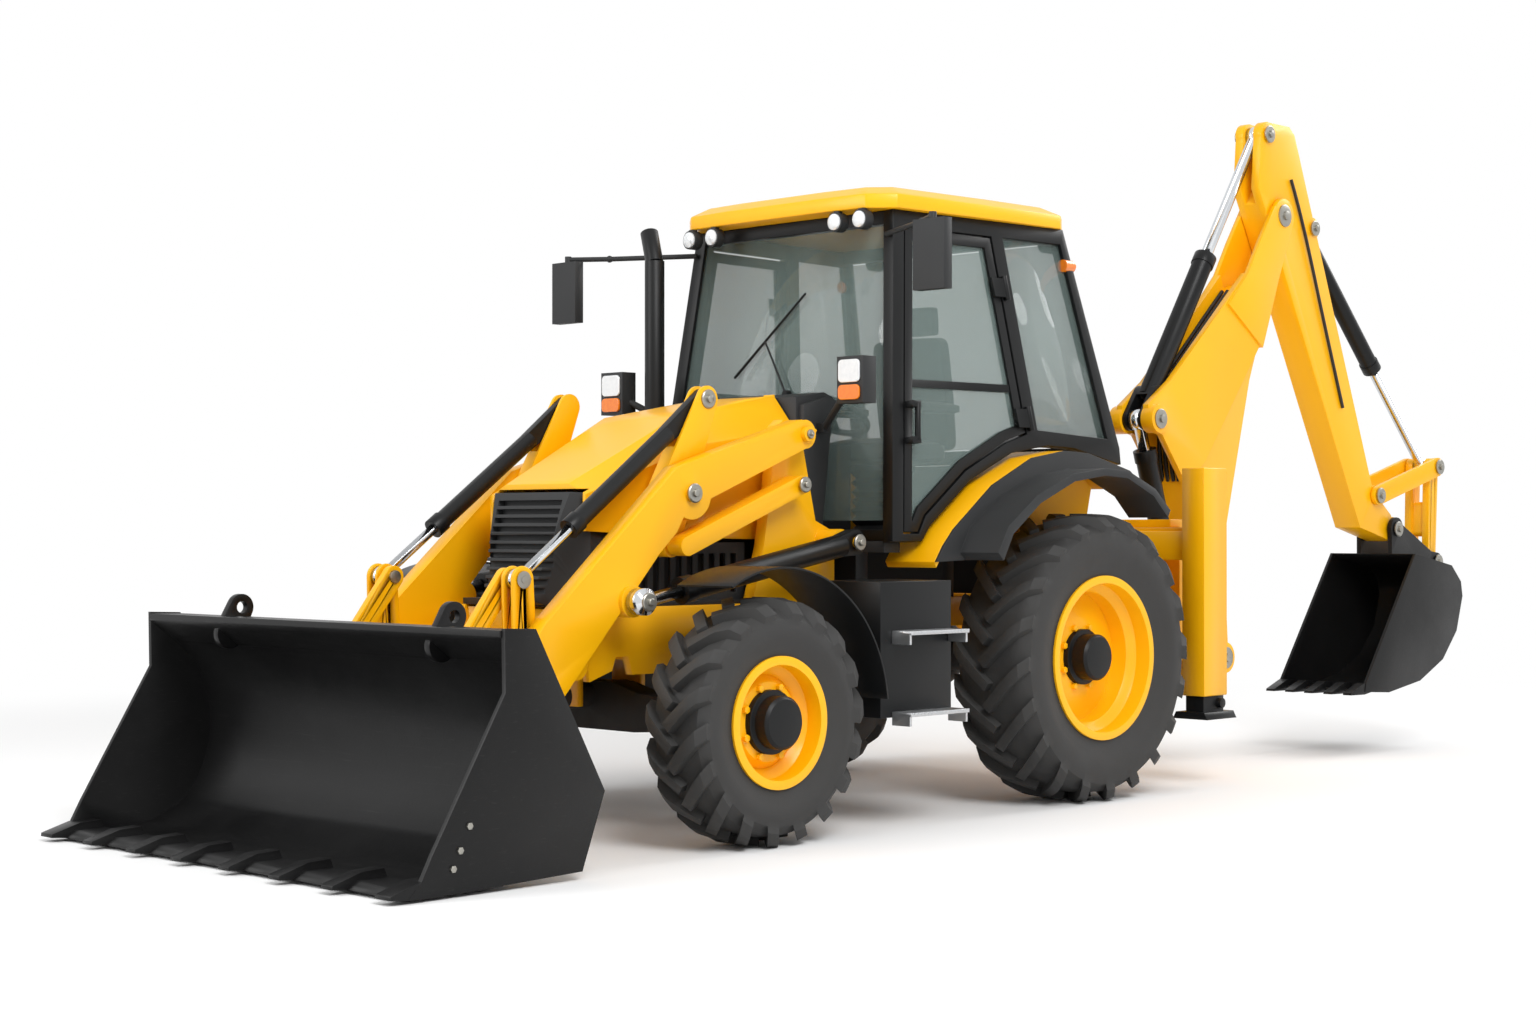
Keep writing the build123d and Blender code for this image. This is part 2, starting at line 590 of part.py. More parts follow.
parts["door_right"] = [mirror(door, about=Plane.XZ)]

# Roof: a crowned cap with cut corners
roof_plan = [
    (1075, -560), (1095, -300), (1095, 300), (1075, 560), (980, 668), (300, 712), (-120, 722), (-235, 640),
    (-250, 0), (-235, -640), (-120, -722), (300, -712), (980, -668),
]
roof = plan_plate(roof_plan, ROOF_UNDERSIDE, ROOF_UNDERSIDE + 62)
roof_top = [(x * 0.9 + 40, y * 0.88) for x, y in roof_plan]
lower_face = make_face(Polyline(*[(x, y, ROOF_UNDERSIDE + 62) for x, y in roof_plan], close=True))
upper_face = make_face(Polyline(*[(x, y, ROOF_UNDERSIDE + ROOF_THICKNESS) for x, y in roof_top], close=True))
roof += loft([lower_face, upper_face], ruled=True)
parts["cab_roof"] = [roof]

# Work lamps: pairs under the roof's front corners and at the back
lamps = []
for side in (-1, 1):
    for y in (395, 545):
        lamps.append(bar((1099, side * y, 2622), (1050, side * y, 2622), 44))
for side in (-1, 1):
    lamps.append(bar((-265, side * 560, 2622), (-205, side * 560, 2622), 44))
lamp_bodies = []
for lamp in lamps:
    box = lamp.bounding_box()
    stem_x = (box.min.X + box.max.X) / 2
    y = (box.min.Y + box.max.Y) / 2
    lamp_bodies.append(lamp + block(stem_x - 14, stem_x + 14, y - 14, y + 14, 2622, ROOF_UNDERSIDE - SEAT_GAP))

# Seat and controls
seat = block(120, 560, -240, 240, 1560, 1670)
seat += side_plate([(120, 1600), (200, 1600), (130, 2180), (50, 2180)], -225, 225)
seat += side_plate([(60, 2190), (130, 2190), (118, 2330), (50, 2330)], -130, 130)
seat += block(70, 110, -60, 60, 2150, 2220)
seat += block(200, 480, -150, 150, FLOOR_TOP + SEAT_GAP, 1565)
for side in (-1, 1):
    seat += block(130, 460, side * 262, side * 322, 1800, 1850)
    seat += block(150, 230, side * 225, side * 300, 1640, 1830)
parts["seat"] = [seat]

console = block(780, 960, -200, 200, FLOOR_TOP + SEAT_GAP, 1640)
console += bar((800, 0, 1600), (700, 0, 1790), 34)
wheel_place = Plane(origin=(700, 0, 1790), z_dir=(-100, 0, 190))
console += wheel_place * Torus(180, 15)
for turn in (90, 210, 330):
    spoke = Rot(0, 0, turn) * Pos(90, 0, 0) * Box(180, 30, 12)
    console += wheel_place * spoke
parts["console"] = [console]

# Rear fenders: a yellow arch beside the cab on each side
fender_outer = [
    (990, 1110), (940, 1180), (870, 1252), (605, 1448), (322, 1576), (78, 1614), (-102, 1606), (-425, 1531), (-520, 1470),
]
fender_inner = [(x * 0.985, z - 26) for x, z in reversed(fender_outer)]
fender_outline = fender_outer + fender_inner
fenders = []
flares = []
flare_outer = [(830, 1150), (760, 1265), (560, 1400), (300, 1500), (60, 1530), (-120, 1520), (-330, 1440), (-450, 1340)]
flare_inner = [(x * 0.955, z - 34) for x, z in reversed(flare_outer)]
for side in (-1, 1):
    arch = side_plate(fender_outline, side * FENDER_INNER_Y, side * FENDER_OUTER_Y)
    wall = side_plate([
        (985, 1112), (865, 1240), (600, 1436), (320, 1562), (78, 1598), (-102, 1592), (-425, 1516), (-500, 1462),
        (-420, 1150), (760, 1150),
    ], side * 604, side * 618)
    arch += wall
    fenders.append(arch)
    lip = side_plate(flare_outer + flare_inner, side * (FENDER_OUTER_Y + SEAT_GAP), side * 1115)
    skirt = side_plate(fender_outer[:1] + fender_outer[1:] + flare_inner, side * (FENDER_OUTER_Y + SEAT_GAP), side * 900)
    lip += skirt
    flares.append(lip)
parts["rear_fenders"] = fenders
parts["fender_flares"] = flares

# Side tanks: fuel on the left and a tool locker on the right, with steps on their outer faces
TANK_FRONT = WHEELBASE - 630
TANK_REAR = 1070
TANK_OUTER_Y = 1050
TANK_INNER_Y = 700
TANK_TOP = 1035
TANK_BOTTOM = 470
tanks = []
steps = []
for side in (-1, 1):
    tank = block(TANK_REAR, TANK_FRONT, side * TANK_INNER_Y, side * TANK_OUTER_Y, TANK_BOTTOM, TANK_TOP)
    for x in (1130, 1400):
        tank += block(x, x + 60, side * (CHASSIS_Y + SEAT_GAP), side * TANK_INNER_Y, 700, 780)
    tanks.append(tank)
    for z in (815, 478):
        tread = block(TANK_REAR + 10, 1450, side * (TANK_OUTER_Y + SEAT_GAP), side * 1160, z, z + 16)
        tread += block(TANK_REAR + 10, TANK_REAR + 22, side * (TANK_OUTER_Y + SEAT_GAP), side * 1150, z - 40, z)
        tread += block(1438, 1450, side * (TANK_OUTER_Y + SEAT_GAP), side * 1150, z - 40, z)
        steps.append(tread)
parts["side_tanks"] = tanks
parts["steps"] = steps

# Front fenders: thin arcs round the steered wheels, hung from the tanks
FENDER_RADIUS = 606
FENDER_SHEET = 8
front_fenders = []


def around_wheel(radius, angle):
    turn = math.radians(angle)
    return (WHEELBASE + radius * math.cos(turn), FRONT_TYRE_RADIUS + radius * math.sin(turn))


for side in (-1, 1):
    inner_arc = [around_wheel(FENDER_RADIUS, a) for a in (62, 118, 174)]
    outer_arc = [around_wheel(FENDER_RADIUS + FENDER_SHEET, a) for a in (174, 118, 62)]
    low, high = sorted((side * 800, side * 1112))
    rim_edges = [
        ThreePointArc(*[at_y(p, low) for p in inner_arc]),
        Line(at_y(inner_arc[2], low), at_y(outer_arc[0], low)),
        ThreePointArc(*[at_y(p, low) for p in outer_arc]),
        Line(at_y(outer_arc[2], low), at_y(inner_arc[0], low)),
    ]
    guard = extrude(make_face(rim_edges), amount=high - low, dir=(0, 1, 0))
    tail = WHEELBASE - FENDER_RADIUS - FENDER_SHEET + 4
    guard += block(TANK_FRONT + SEAT_GAP, tail, side * 820, side * 1040, 560, 620)
    front_fenders.append(guard)
parts["front_fenders"] = front_fenders

# Head lamps on stalks beside the cowl
head_lamps = []
for side in (-1, 1):
    lamp = block(1312, 1396, side * 688, side * 838, 1790, 1990)
    lamp += block(1180, 1220, side * (400 + SEAT_GAP), side * 440, 1680, 1720)
    lamp += bar((1200, side * 430, 1700), (1340, side * 700, 1850), 16)
    head_lamps.append(lamp)
parts["lamps"] = lamp_bodies + head_lamps

# Mirrors on arms from the tops of the front pillars
mirrors = []
for side in (-1, 1):
    pane = block(1300, 1352, side * 1080, side * 1250, 2250, 2545)
    root_z = 2560
    root = Vector(a_front(root_z) + 9, side * (side_y(a_front(root_z), root_z) - 30), root_z)
    elbow = (1200, side * 1000, root_z)
    top = (1322, side * 1165, root_z)
    arm = bar(tuple(root), elbow, 12) + Pos(*elbow) * Sphere(17) + bar(elbow, top, 12)
    arm += Pos(*top) * Cylinder(16, 30) + bar((top[0], top[1], 2500), top, 13)
    mirrors.append(pane + arm)
parts["mirrors"] = mirrors

# Exhaust: a tall stack beside the cowl with a turned-out mouth
EXHAUST = (1345, -520)
stack = bar((EXHAUST[0], EXHAUST[1], 1350), (EXHAUST[0], EXHAUST[1], 2500), 46)
stack += bar((EXHAUST[0], EXHAUST[1], 2490), (EXHAUST[0] - 30, EXHAUST[1] - 70, 2640), 42)
for z in (1365, 1490):
    stack += block(1240, 1312, -400 - SEAT_GAP, EXHAUST[1], z, z + 36)
parts["exhaust_stack"] = [stack]

# Loader arms: two deep plates joined by a cross tube
arm_outline = [
    (1449, 1606), (1400, 1680), (1492, 1722), (2140, 1530), (2222, 1505), (2920, 885), (3110, 650), (3250, 370),
    (3210, 264), (3130, 290), (2990, 420), (2621, 825), (2321, 1155), (2227, 1240), (2190, 1300), (2121, 1346),
]
arm_pieces = []
for side in (-1, 1):
    arm = side_plate(arm_outline, side * ARM_INNER_Y, side * ARM_OUTER_Y)
    for centre, radius in ((ARM_PIVOT, 62), (BUCKET_PIVOT, 70), (LEVER_ON_ARM, 108)):
        arm += cross_pin(centre, side * ARM_INNER_Y, side * ARM_OUTER_Y, radius)
    arm += cross_pin(LIFT_ROD_PIN, side * ARM_INNER_Y, side * (ARM_OUTER_Y + 20), 64)
    for centre, radius in ((ARM_PIVOT, PIN_RADIUS + 6), (BUCKET_PIVOT, 30), (TIPPING_PIVOT, PIN_RADIUS)):
        arm -= cross_pin(centre, side * (ARM_INNER_Y - 10), side * (ARM_OUTER_Y + 30), radius + SEAT_GAP)
    arm += cross_pin(LEVER_ON_ARM, side * (LEVER_INNER_Y - 8), side * (ARM_OUTER_Y + 14), 34)
    arm_pieces.append(arm)
loader_arms = arm_pieces[0] + arm_pieces[1]
loader_arms += cross_pin(CROSS_TUBE, -ARM_INNER_Y, ARM_INNER_Y, CROSS_TUBE_RADIUS)
parts["loader_arms"] = [loader_arms]

# Levelling levers stand on the arms, links hold them level with the chassis
LINK_ROD = (LEVER_ON_ARM[0] + LINK_PIVOT[0] - ARM_PIVOT[0], LEVER_ON_ARM[1] + LINK_PIVOT[1] - ARM_PIVOT[1])
TILT_RAM_Y = (LEVER_INNER_Y + LEVER_OUTER_Y) / 2
EYE_WIDTH = 36
levers = []
links = []
for side in (-1, 1):
    lever = link_bar(LEVER_TOP, LEVER_ON_ARM, 56, 92, side * LEVER_INNER_Y, side * LEVER_OUTER_Y)
    lever += link_bar(LEVER_ON_ARM, LINK_ROD, 92, 46, side * LEVER_INNER_Y, side * LEVER_OUTER_Y)
    lever -= cross_pin(LEVER_TOP, side * (TILT_RAM_Y - 22), side * (TILT_RAM_Y + 22), 270)
    lever -= cross_pin(LEVER_ON_ARM, side * 380, side * 500, 34 + SEAT_GAP)
    lever -= cross_pin(LINK_ROD, side * 380, side * 500, PIN_RADIUS - 4 + SEAT_GAP)
    lever += cross_pin(LEVER_TOP, side * LEVER_INNER_Y, side * LEVER_OUTER_Y, PIN_RADIUS)
    levers.append(lever)
    link = link_bar(LINK_PIVOT, LINK_ROD, 40, 40, side * ARM_INNER_Y, side * ARM_OUTER_Y)
    link -= cross_pin(LINK_PIVOT, side * 480, side * 600, PIN_RADIUS - 4 + SEAT_GAP)
    link += cross_pin(LINK_ROD, side * LEVER_INNER_Y, side * ARM_INNER_Y, PIN_RADIUS - 4)
    links.append(link)
parts["levelling_levers"] = levers
parts["levelling_links"] = links

# Loader rams
parts["lift_ram_barrels"] = both_sides(
    ram_barrel(LIFT_BASE_PIN, LIFT_ROD_PIN, LIFT_RAM_Y, 50, 1040, 56, 60, 70))
lift_rod = ram_rod(LIFT_BASE_PIN, LIFT_ROD_PIN, LIFT_RAM_Y, 50, 480, 54, 60)
lift_rod += cross_pin(LIFT_ROD_PIN, ARM_OUTER_Y + 22, LIFT_RAM_Y + 45, PIN_RADIUS)
parts["lift_ram_rods"] = both_sides(lift_rod)
parts["tilt_ram_barrels"] = both_sides(
    ram_barrel(LEVER_TOP, TILT_ROD_PIN, TILT_RAM_Y, 38, 910, 44, EYE_WIDTH, 250))
parts["tilt_ram_rods"] = both_sides(ram_rod(LEVER_TOP, TILT_ROD_PIN, TILT_RAM_Y, 38, 520, 44, EYE_WIDTH))

# Tipping levers, their pivot pins, the ram pins and the links to the bucket
tipping_levers = []
tipping_pins = []
tilt_pins = []
tipping_links = []
bucket_pins = []
BUCKET_LINK = (BUCKET_PIVOT[0] + TILT_ROD_PIN[0] - TIPPING_PIVOT[0], BUCKET_PIVOT[1] + TILT_ROD_PIN[1] - TIPPING_PIVOT[1])
for side in (-1, 1):
    lever = link_bar(TIPPING_PIVOT, TILT_ROD_PIN, 62, 54, side * LEVER_INNER_Y, side * LEVER_OUTER_Y)
    lever -= cross_pin(TILT_ROD_PIN, side * (TILT_RAM_Y - 22), side * (TILT_RAM_Y + 22), 290)
    lever -= cross_pin(TIPPING_PIVOT, side * 380, side * 500, PIN_RADIUS + SEAT_GAP)
    lever -= cross_pin(TILT_ROD_PIN, side * 380, side * 500, PIN_RADIUS + SEAT_GAP)
    tipping_levers.append(lever)
    tipping_pins.append(cross_pin(TIPPING_PIVOT, side * (LEVER_INNER_Y - 1), side * (ARM_OUTER_Y + 12), PIN_RADIUS))
    tilt_pins.append(cross_pin(TILT_ROD_PIN, side * (TIPPING_LINK_Y - 24), side * (TILT_RAM_Y - 23), PIN_RADIUS))
    tilt_pins.append(cross_pin(TILT_ROD_PIN, side * (TILT_RAM_Y + 23), side * (LEVER_OUTER_Y + 6), PIN_RADIUS))
    link = link_bar(TILT_ROD_PIN, BUCKET_LINK, 46, 42, side * (TIPPING_LINK_Y - 15), side * (TIPPING_LINK_Y + 15))
    link -= cross_pin(TILT_ROD_PIN, side * 340, side * 400, PIN_RADIUS + SEAT_GAP)
    link -= cross_pin(BUCKET_LINK, side * 340, side * 400, PIN_RADIUS + SEAT_GAP)
    tipping_links.append(link)
    bucket_pins.append(cross_pin(BUCKET_PIVOT, side * (ARM_INNER_Y - 40), side * (ARM_OUTER_Y + 40), 30))
parts["tipping_levers"] = tipping_levers
parts["tipping_pivot_pins"] = tipping_pins
parts["tilt_ram_pins"] = tilt_pins
parts["tipping_links"] = tipping_links
parts["bucket_pivot_pins"] = bucket_pins

# Loader bucket: a rolled sheet between two side plates, with teeth, corner shoes and lifting ears
bucket_side = [
    (3604, 909), (3464, 904), (3143, 312), (3249, 32), (3785, 14), (4016, 14), (3960, 70), (3917, 150), (3600, 685),
]
sheet = BUCKET_SHEET
inside = BUCKET_HALF_WIDTH - BUCKET_SIDE_PLATE
shell_inner = [
    Line((3612, 0, 880), (3491, 0, 788)),
    ThreePointArc((3491, 0, 788), (3327, 0, 358), (3457, 0, 110)),
    Line((3457, 0, 110), (3600, 0, 42)),
    Line((3600, 0, 42), (4000, 0, 30)),
    Line((4000, 0, 30), (4010, 0, 14)),
    Line((4010, 0, 14), (3596, 0, 42 - 2 * sheet)),
    Line((3596, 0, 42 - 2 * sheet), (3447, 0, 110 - sheet)),
    ThreePointArc((3447, 0, 110 - sheet), (3327 - sheet, 0, 358), (3481, 0, 788 + sheet * 0.6)),
    Line((3481, 0, 788 + sheet * 0.6), (3605, 0, 880 + sheet * 1.4)),
    Line((3605, 0, 880 + sheet * 1.4), (3612, 0, 880)),
]
shell = extrude(make_face(shell_inner), amount=inside, dir=(0, 1, 0), both=True)
bucket = shell
for side in (-1, 1):
    bucket += side_plate(bucket_side, side * inside, side * BUCKET_HALF_WIDTH)
lip = side_plate([(3464, 868), (3464, 900), (3612, 902), (3612, 880), (3560, 868)], -inside, inside)
bucket += lip
bucket += side_plate([(3850, 12), (3850, 44), (3985, 44), (4024, 16), (4020, 12)], -inside, inside)
positions = LOADER_TEETH + 2
for i in range(positions):
    y = -BUCKET_HALF_WIDTH + 45 + i * (2 * BUCKET_HALF_WIDTH - 90) / (positions - 1)
    tooth = [(3858, 44), (3870, 74), (3965, 70), (4086, 34), (4088, 20), (3990, 11), (3858, 11)]
    half = 34 if 0 < i < positions - 1 else 44
    bucket += side_plate(tooth, y - half, y + half)
LIFT_EYE = (3466, 936)
bucket_space = extrude(make_face([
    Line((3612, 0, 880), (3491, 0, 788)),
    ThreePointArc((3491, 0, 788), (3327, 0, 358), (3457, 0, 110)),
    Line((3457, 0, 110), (3600, 0, 42)),
    Line((3600, 0, 42), (4000, 0, 42)),
    Line((4000, 0, 42), (3612, 0, 880)),
]), amount=inside, dir=(0, 1, 0), both=True)
for side in (-1, 1):
    ear = link_bar(LIFT_EYE, (3520, 830), 54, 60, side * (LIFT_EYE_Y - 15), side * (LIFT_EYE_Y + 15))
    bucket += ear
    for low, high in ((ARM_INNER_Y - 36, ARM_INNER_Y - 6), (ARM_OUTER_Y + 6, ARM_OUTER_Y + 36)):
        lug = link_bar(BUCKET_PIVOT, (3345, 300), 62, 120, side * low, side * high)
        bucket += lug - bucket_space
    for low, high in ((TIPPING_LINK_Y - 44, TIPPING_LINK_Y - 20), (TIPPING_LINK_Y + 18, TIPPING_LINK_Y + 32)):
        lug = link_bar(BUCKET_LINK, (3420, 640), 46, 90, side * low, side * high)
        bucket += lug - bucket_space
    bucket += cross_pin(BUCKET_LINK, side * (TIPPING_LINK_Y - 44), side * (TIPPING_LINK_Y + 32), PIN_RADIUS)
for side in (-1, 1):
    bucket -= cross_pin(LIFT_EYE, side * (LIFT_EYE_Y - 40), side * (LIFT_EYE_Y + 40), LIFT_EYE_RADIUS)
    bucket -= cross_pin(BUCKET_PIVOT, side * (ARM_INNER_Y - 60), side * (ARM_OUTER_Y + 60), 30 + SEAT_GAP)
parts["loader_bucket"] = [bucket]

# Rear frame: slide rails, stabiliser tubes and the plates that tie them to the chassis
RAIL_FRONT = -960
RAIL_REAR = -1075
UPPER_RAIL = (1150, 1260)
LOWER_RAIL = (500, 600)
leg_x0 = LEG_X - LEG_DEPTH_X / 2
leg_x1 = LEG_X + LEG_DEPTH_X / 2
rear_frame = block(RAIL_REAR, RAIL_FRONT, -LEG_Y, LEG_Y, *UPPER_RAIL)
rear_frame += block(RAIL_REAR, RAIL_FRONT, -LEG_Y, LEG_Y, *LOWER_RAIL)
for side in (-1, 1):
    tube = block(leg_x0, leg_x1, side * (LEG_Y - LEG_WIDTH_Y / 2), side * (LEG_Y + LEG_WIDTH_Y / 2), LEG_BOTTOM, LEG_TOP)
    rear_frame += tube
    rear_frame += block(RAIL_FRONT, CHASSIS_REAR_X + 120, side * (CHASSIS_Y + SEAT_GAP), side * (CHASSIS_Y + 40), 560, 1240)
    rear_frame += block(RAIL_FRONT, -880, side * (CHASSIS_Y + 40), side * (LEG_Y - 40), 1100, 1240)
    cavity = block(
        leg_x0 + LEG_WALL, leg_x1 - LEG_WALL, side * (LEG_Y - LEG_WIDTH_Y / 2 + LEG_WALL),
        side * (LEG_Y + LEG_WIDTH_Y / 2 - LEG_WALL), LEG_BOTTOM - 10, LEG_TOP - LEG_WALL)
    rear_frame -= cavity
parts["rear_frame"] = [rear_frame]

# Stabilisers: inner legs that slide down out of the tubes, each with a pinned pad
LEG_CLEARANCE = 0.8
for name, side in (("left", 1), ("right", -1)):
    gap = LEG_WALL + LEG_CLEARANCE
    leg = block(
        leg_x0 + gap, leg_x1 - gap, side * (LEG_Y - LEG_WIDTH_Y / 2 + gap),
        side * (LEG_Y + LEG_WIDTH_Y / 2 - gap), PAD_BOTTOM + 20, LEG_TOP - 100)
    foot = front_plate([
        (side * (LEG_Y - PAD_HALF), PAD_BOTTOM), (side * (LEG_Y + PAD_HALF), PAD_BOTTOM),
        (side * (LEG_Y + PAD_HALF - 18), PAD_BOTTOM + 34), (side * (LEG_Y - PAD_HALF + 18), PAD_BOTTOM + 34)],
        LEG_X - PAD_HALF - 25, LEG_X + PAD_HALF + 25)
    leg += foot
    pin_z = PAD_BOTTOM + 74
    leg += cross_pin((LEG_X - 40, pin_z), side * (LEG_Y - 62), side * (LEG_Y + 78), 24)
    parts["stabiliser_" + name] = [leg]

# Carriage: clamps on the rails and holds the swing casting between two jaws
Y0 = SIDE_SHIFT
CARRIAGE_FRONT = RAIL_REAR - SEAT_GAP
CARRIAGE_HALF = 230
carriage = block(CARRIAGE_FRONT - 40, CARRIAGE_FRONT, Y0 - CARRIAGE_HALF, Y0 + CARRIAGE_HALF, 440, 1300)
for z0, z1 in ((UPPER_RAIL[1] + SEAT_GAP, 1300), (440, LOWER_RAIL[0] - SEAT_GAP)):
    carriage += block(CARRIAGE_FRONT - 30, RAIL_REAR + 80, Y0 - CARRIAGE_HALF, Y0 + CARRIAGE_HALF, z0, z1)
KINGPOST_RADIUS = 95
LOWER_JAW = (440, 500)
UPPER_JAW = (700, 760)
for z0, z1 in (LOWER_JAW, UPPER_JAW):
    jaw = plan_plate([
        (CARRIAGE_FRONT - 30, Y0 - 140), (CARRIAGE_FRONT - 30, Y0 + 140), (SLEW_X, Y0 + KINGPOST_RADIUS),
        (SLEW_X, Y0 - KINGPOST_RADIUS)], z0, z1)
    jaw += Pos(SLEW_X, Y0, (z0 + z1) / 2) * Cylinder(KINGPOST_RADIUS, z1 - z0)
    carriage += jaw
carriage -= Pos(SLEW_X, Y0, 600) * Cylinder(45 + SEAT_GAP, 400)
parts["carriage"] = [carriage]

# Swing casting: turns on the kingpost, carries the boom's foot and its ram
JAW_GAP = 6
casting_low = LOWER_JAW[1] + JAW_GAP
casting_high = UPPER_JAW[0] - JAW_GAP
casting = Pos(SLEW_X, Y0, (casting_low + casting_high) / 2) * Cylinder(KINGPOST_RADIUS - 3, casting_high - casting_low)
casting += Pos(SLEW_X, Y0, (LOWER_JAW[0] + UPPER_JAW[1]) / 2) * Cylinder(45, UPPER_JAW[1] - LOWER_JAW[0])
casting += block(-1512, SLEW_X, Y0 - 88, Y0 + 88, casting_low, casting_high)
FORK_INNER = BOOM_PLATE_WIDTH / 2 + 7
FORK_PLATE = 34
for side in (-1, 1):
    cheek = side_plate([
        (-1430, casting_low), (-1430, casting_high), (-1600, casting_high), (BOOM_FOOT[0], BOOM_FOOT[1] + 80),
        (BOOM_FOOT[0], BOOM_FOOT[1] - 80), (-1600, casting_low)],
        Y0 + side * FORK_INNER, Y0 + side * (FORK_INNER + FORK_PLATE))
    cheek += cross_pin(BOOM_FOOT, Y0 + side * FORK_INNER, Y0 + side * (FORK_INNER + FORK_PLATE), 80)
    casting += cheek
    horn = side_plate([
        (-1512, casting_high - 40), (-1512, 738), (-1455, 776), (-1440, 875), (-1405, 895), (-1345, 895),
        (-1320, 850), (-1330, UPPER_JAW[1] + JAW_GAP),
        (-1475, UPPER_JAW[1] + JAW_GAP - 6), (-1475, casting_high - 40)],
        Y0 + side * 36, Y0 + side * 70)
    casting += horn
casting += cross_pin(BOOM_FOOT, Y0 - FORK_INNER - FORK_PLATE, Y0 + FORK_INNER + FORK_PLATE, 38)
casting += cross_pin(BOOM_RAM_BASE, Y0 - 70, Y0 + 70, 32)
parts["swing_casting"] = [casting]

# Boom: a deep box with a forked tip and ear plates for the rams
boom_box = [
    (-1745, 560), (-1700, 1180), (-1945, 2044), (-2174, 2592), (-2320, 2944), (-2231, 3030), (-2150, 2990),
    (-1960, 2560), (-1330, 1990), (-1330, 1480), (-1480, 1000), (-1575, 560),
]
half = BOOM_PLATE_WIDTH / 2
boom = side_plate(boom_box, Y0 - half, Y0 + half)
boom += cross_pin(BOOM_FOOT, Y0 - half, Y0 + half, 92)
boom -= cross_pin(BOOM_TIP, Y0 - half - 10, Y0 + half + 10, 470)
TIP_INNER = DIPPER_WIDTH / 2 + 6
fork_outline = [
    (-2020, 2220), (-2174, 2592), (-2326, 2930), (-2140, 2990), (-2000, 2792), (-1884, 2610), (-1700, 2430),
]
ear_outline = [(-1884, 2610), (-1198, 2010), (-1000, 1880), (-1000, 1760), (-1120, 1730), (-1330, 1480), (-1500, 1600), (-2020, 2240)]
for side in (-1, 1):
    fork = side_plate(fork_outline, Y0 + side * TIP_INNER, Y0 + side * (TIP_INNER + 26))
    fork += cross_pin(BOOM_TIP, Y0 + side * TIP_INNER, Y0 + side * (TIP_INNER + 26), 92)
    fork += side_plate([(-2020, 2220), (-2110, 2440), (-1900, 2560), (-1700, 2430)], Y0 + side * (half - 10), Y0 + side * (TIP_INNER + 26))
    boom += fork
    boom += side_plate(ear_outline, Y0 + side * (half - 12), Y0 + side * (half + 22))
    boom += cross_pin(RAM_EARS, Y0 + side * (half - 12), Y0 + side * (half + 60), 72)
boom -= cross_pin(BOOM_FOOT, Y0 - 200, Y0 + 200, 38 + SEAT_GAP)
for side in (-1, 1):
    boom += cross_pin(RAM_EARS, Y0 + side * EYE_ROOM, Y0 + side * (half + 20), 32)
boom += cross_pin(BOOM_TIP, Y0 - TIP_INNER - 10, Y0 + TIP_INNER + 10, 38)
parts["boom"] = [boom]

# Dipper: a tapering box with lugs for its two rams and the bucket linkage
dipper_outline = [
    (-2050, 3330), (-2060, 3400), (-2120, 3440), (-2330, 3440), (-2384, 3399), (-3200, 1470), (-3400, 1330), (-3409, 1180), (-3060, 1260), (-2030, 3080),
]
dipper_half = DIPPER_WIDTH / 2
dipper = side_plate(dipper_outline, Y0 - dipper_half, Y0 + dipper_half)
dipper += cross_pin(DIPPER_END, Y0 - dipper_half, Y0 + dipper_half, 70)
dipper += cross_pin(DIPPER_TOP_PIN, Y0 - dipper_half, Y0 + dipper_half, 68)
dipper += cross_pin(BUCKET_RAM_PIN, Y0 - dipper_half, Y0 + dipper_half, 60)
dipper += cross_pin(DIPPER_LEVER_PIN, Y0 - dipper_half, Y0 + dipper_half, 58)
RAM_SLOT = 32
BARREL_SLOT = 58
ram_slot = [(-2315, 3520), (-2315, 3330), (-2215, 3190), (-2066, 2990), (-1900, 2990), (-1900, 3520)]
dipper -= side_plate(ram_slot, Y0 - RAM_SLOT, Y0 + RAM_SLOT)
dipper -= cross_pin(BUCKET_RAM_PIN, Y0 - RAM_SLOT, Y0 + RAM_SLOT, 130)
barrel_path = [(-2500, 2960), (-2516, 2866), (-2900, 2370), (-3050, 2370), (-2700, 3010)]
dipper -= side_plate(barrel_path, Y0 - BARREL_SLOT, Y0 + BARREL_SLOT)
dipper -= cross_pin(BOOM_TIP, Y0 - 200, Y0 + 200, 38 + SEAT_GAP)
dipper -= cross_pin(DIPPER_END, Y0 - 200, Y0 + 200, 34 + SEAT_GAP)
for side in (-1, 1):
    dipper += cross_pin(DIPPER_TOP_PIN, Y0 + side * RAM_SLOT, Y0 + side * (dipper_half + 12), 32)
dipper += cross_pin(BUCKET_RAM_PIN, Y0 - dipper_half - 12, Y0 + dipper_half + 12, 30)
LEVER_Y = dipper_half + 6
LEVER_PLATE = 24
LINK_INNER = 36
dipper += cross_pin(DIPPER_LEVER_PIN, Y0 - LEVER_Y - LEVER_PLATE - 8, Y0 + LEVER_Y + LEVER_PLATE + 8, 30)
parts["dipper"] = [dipper]

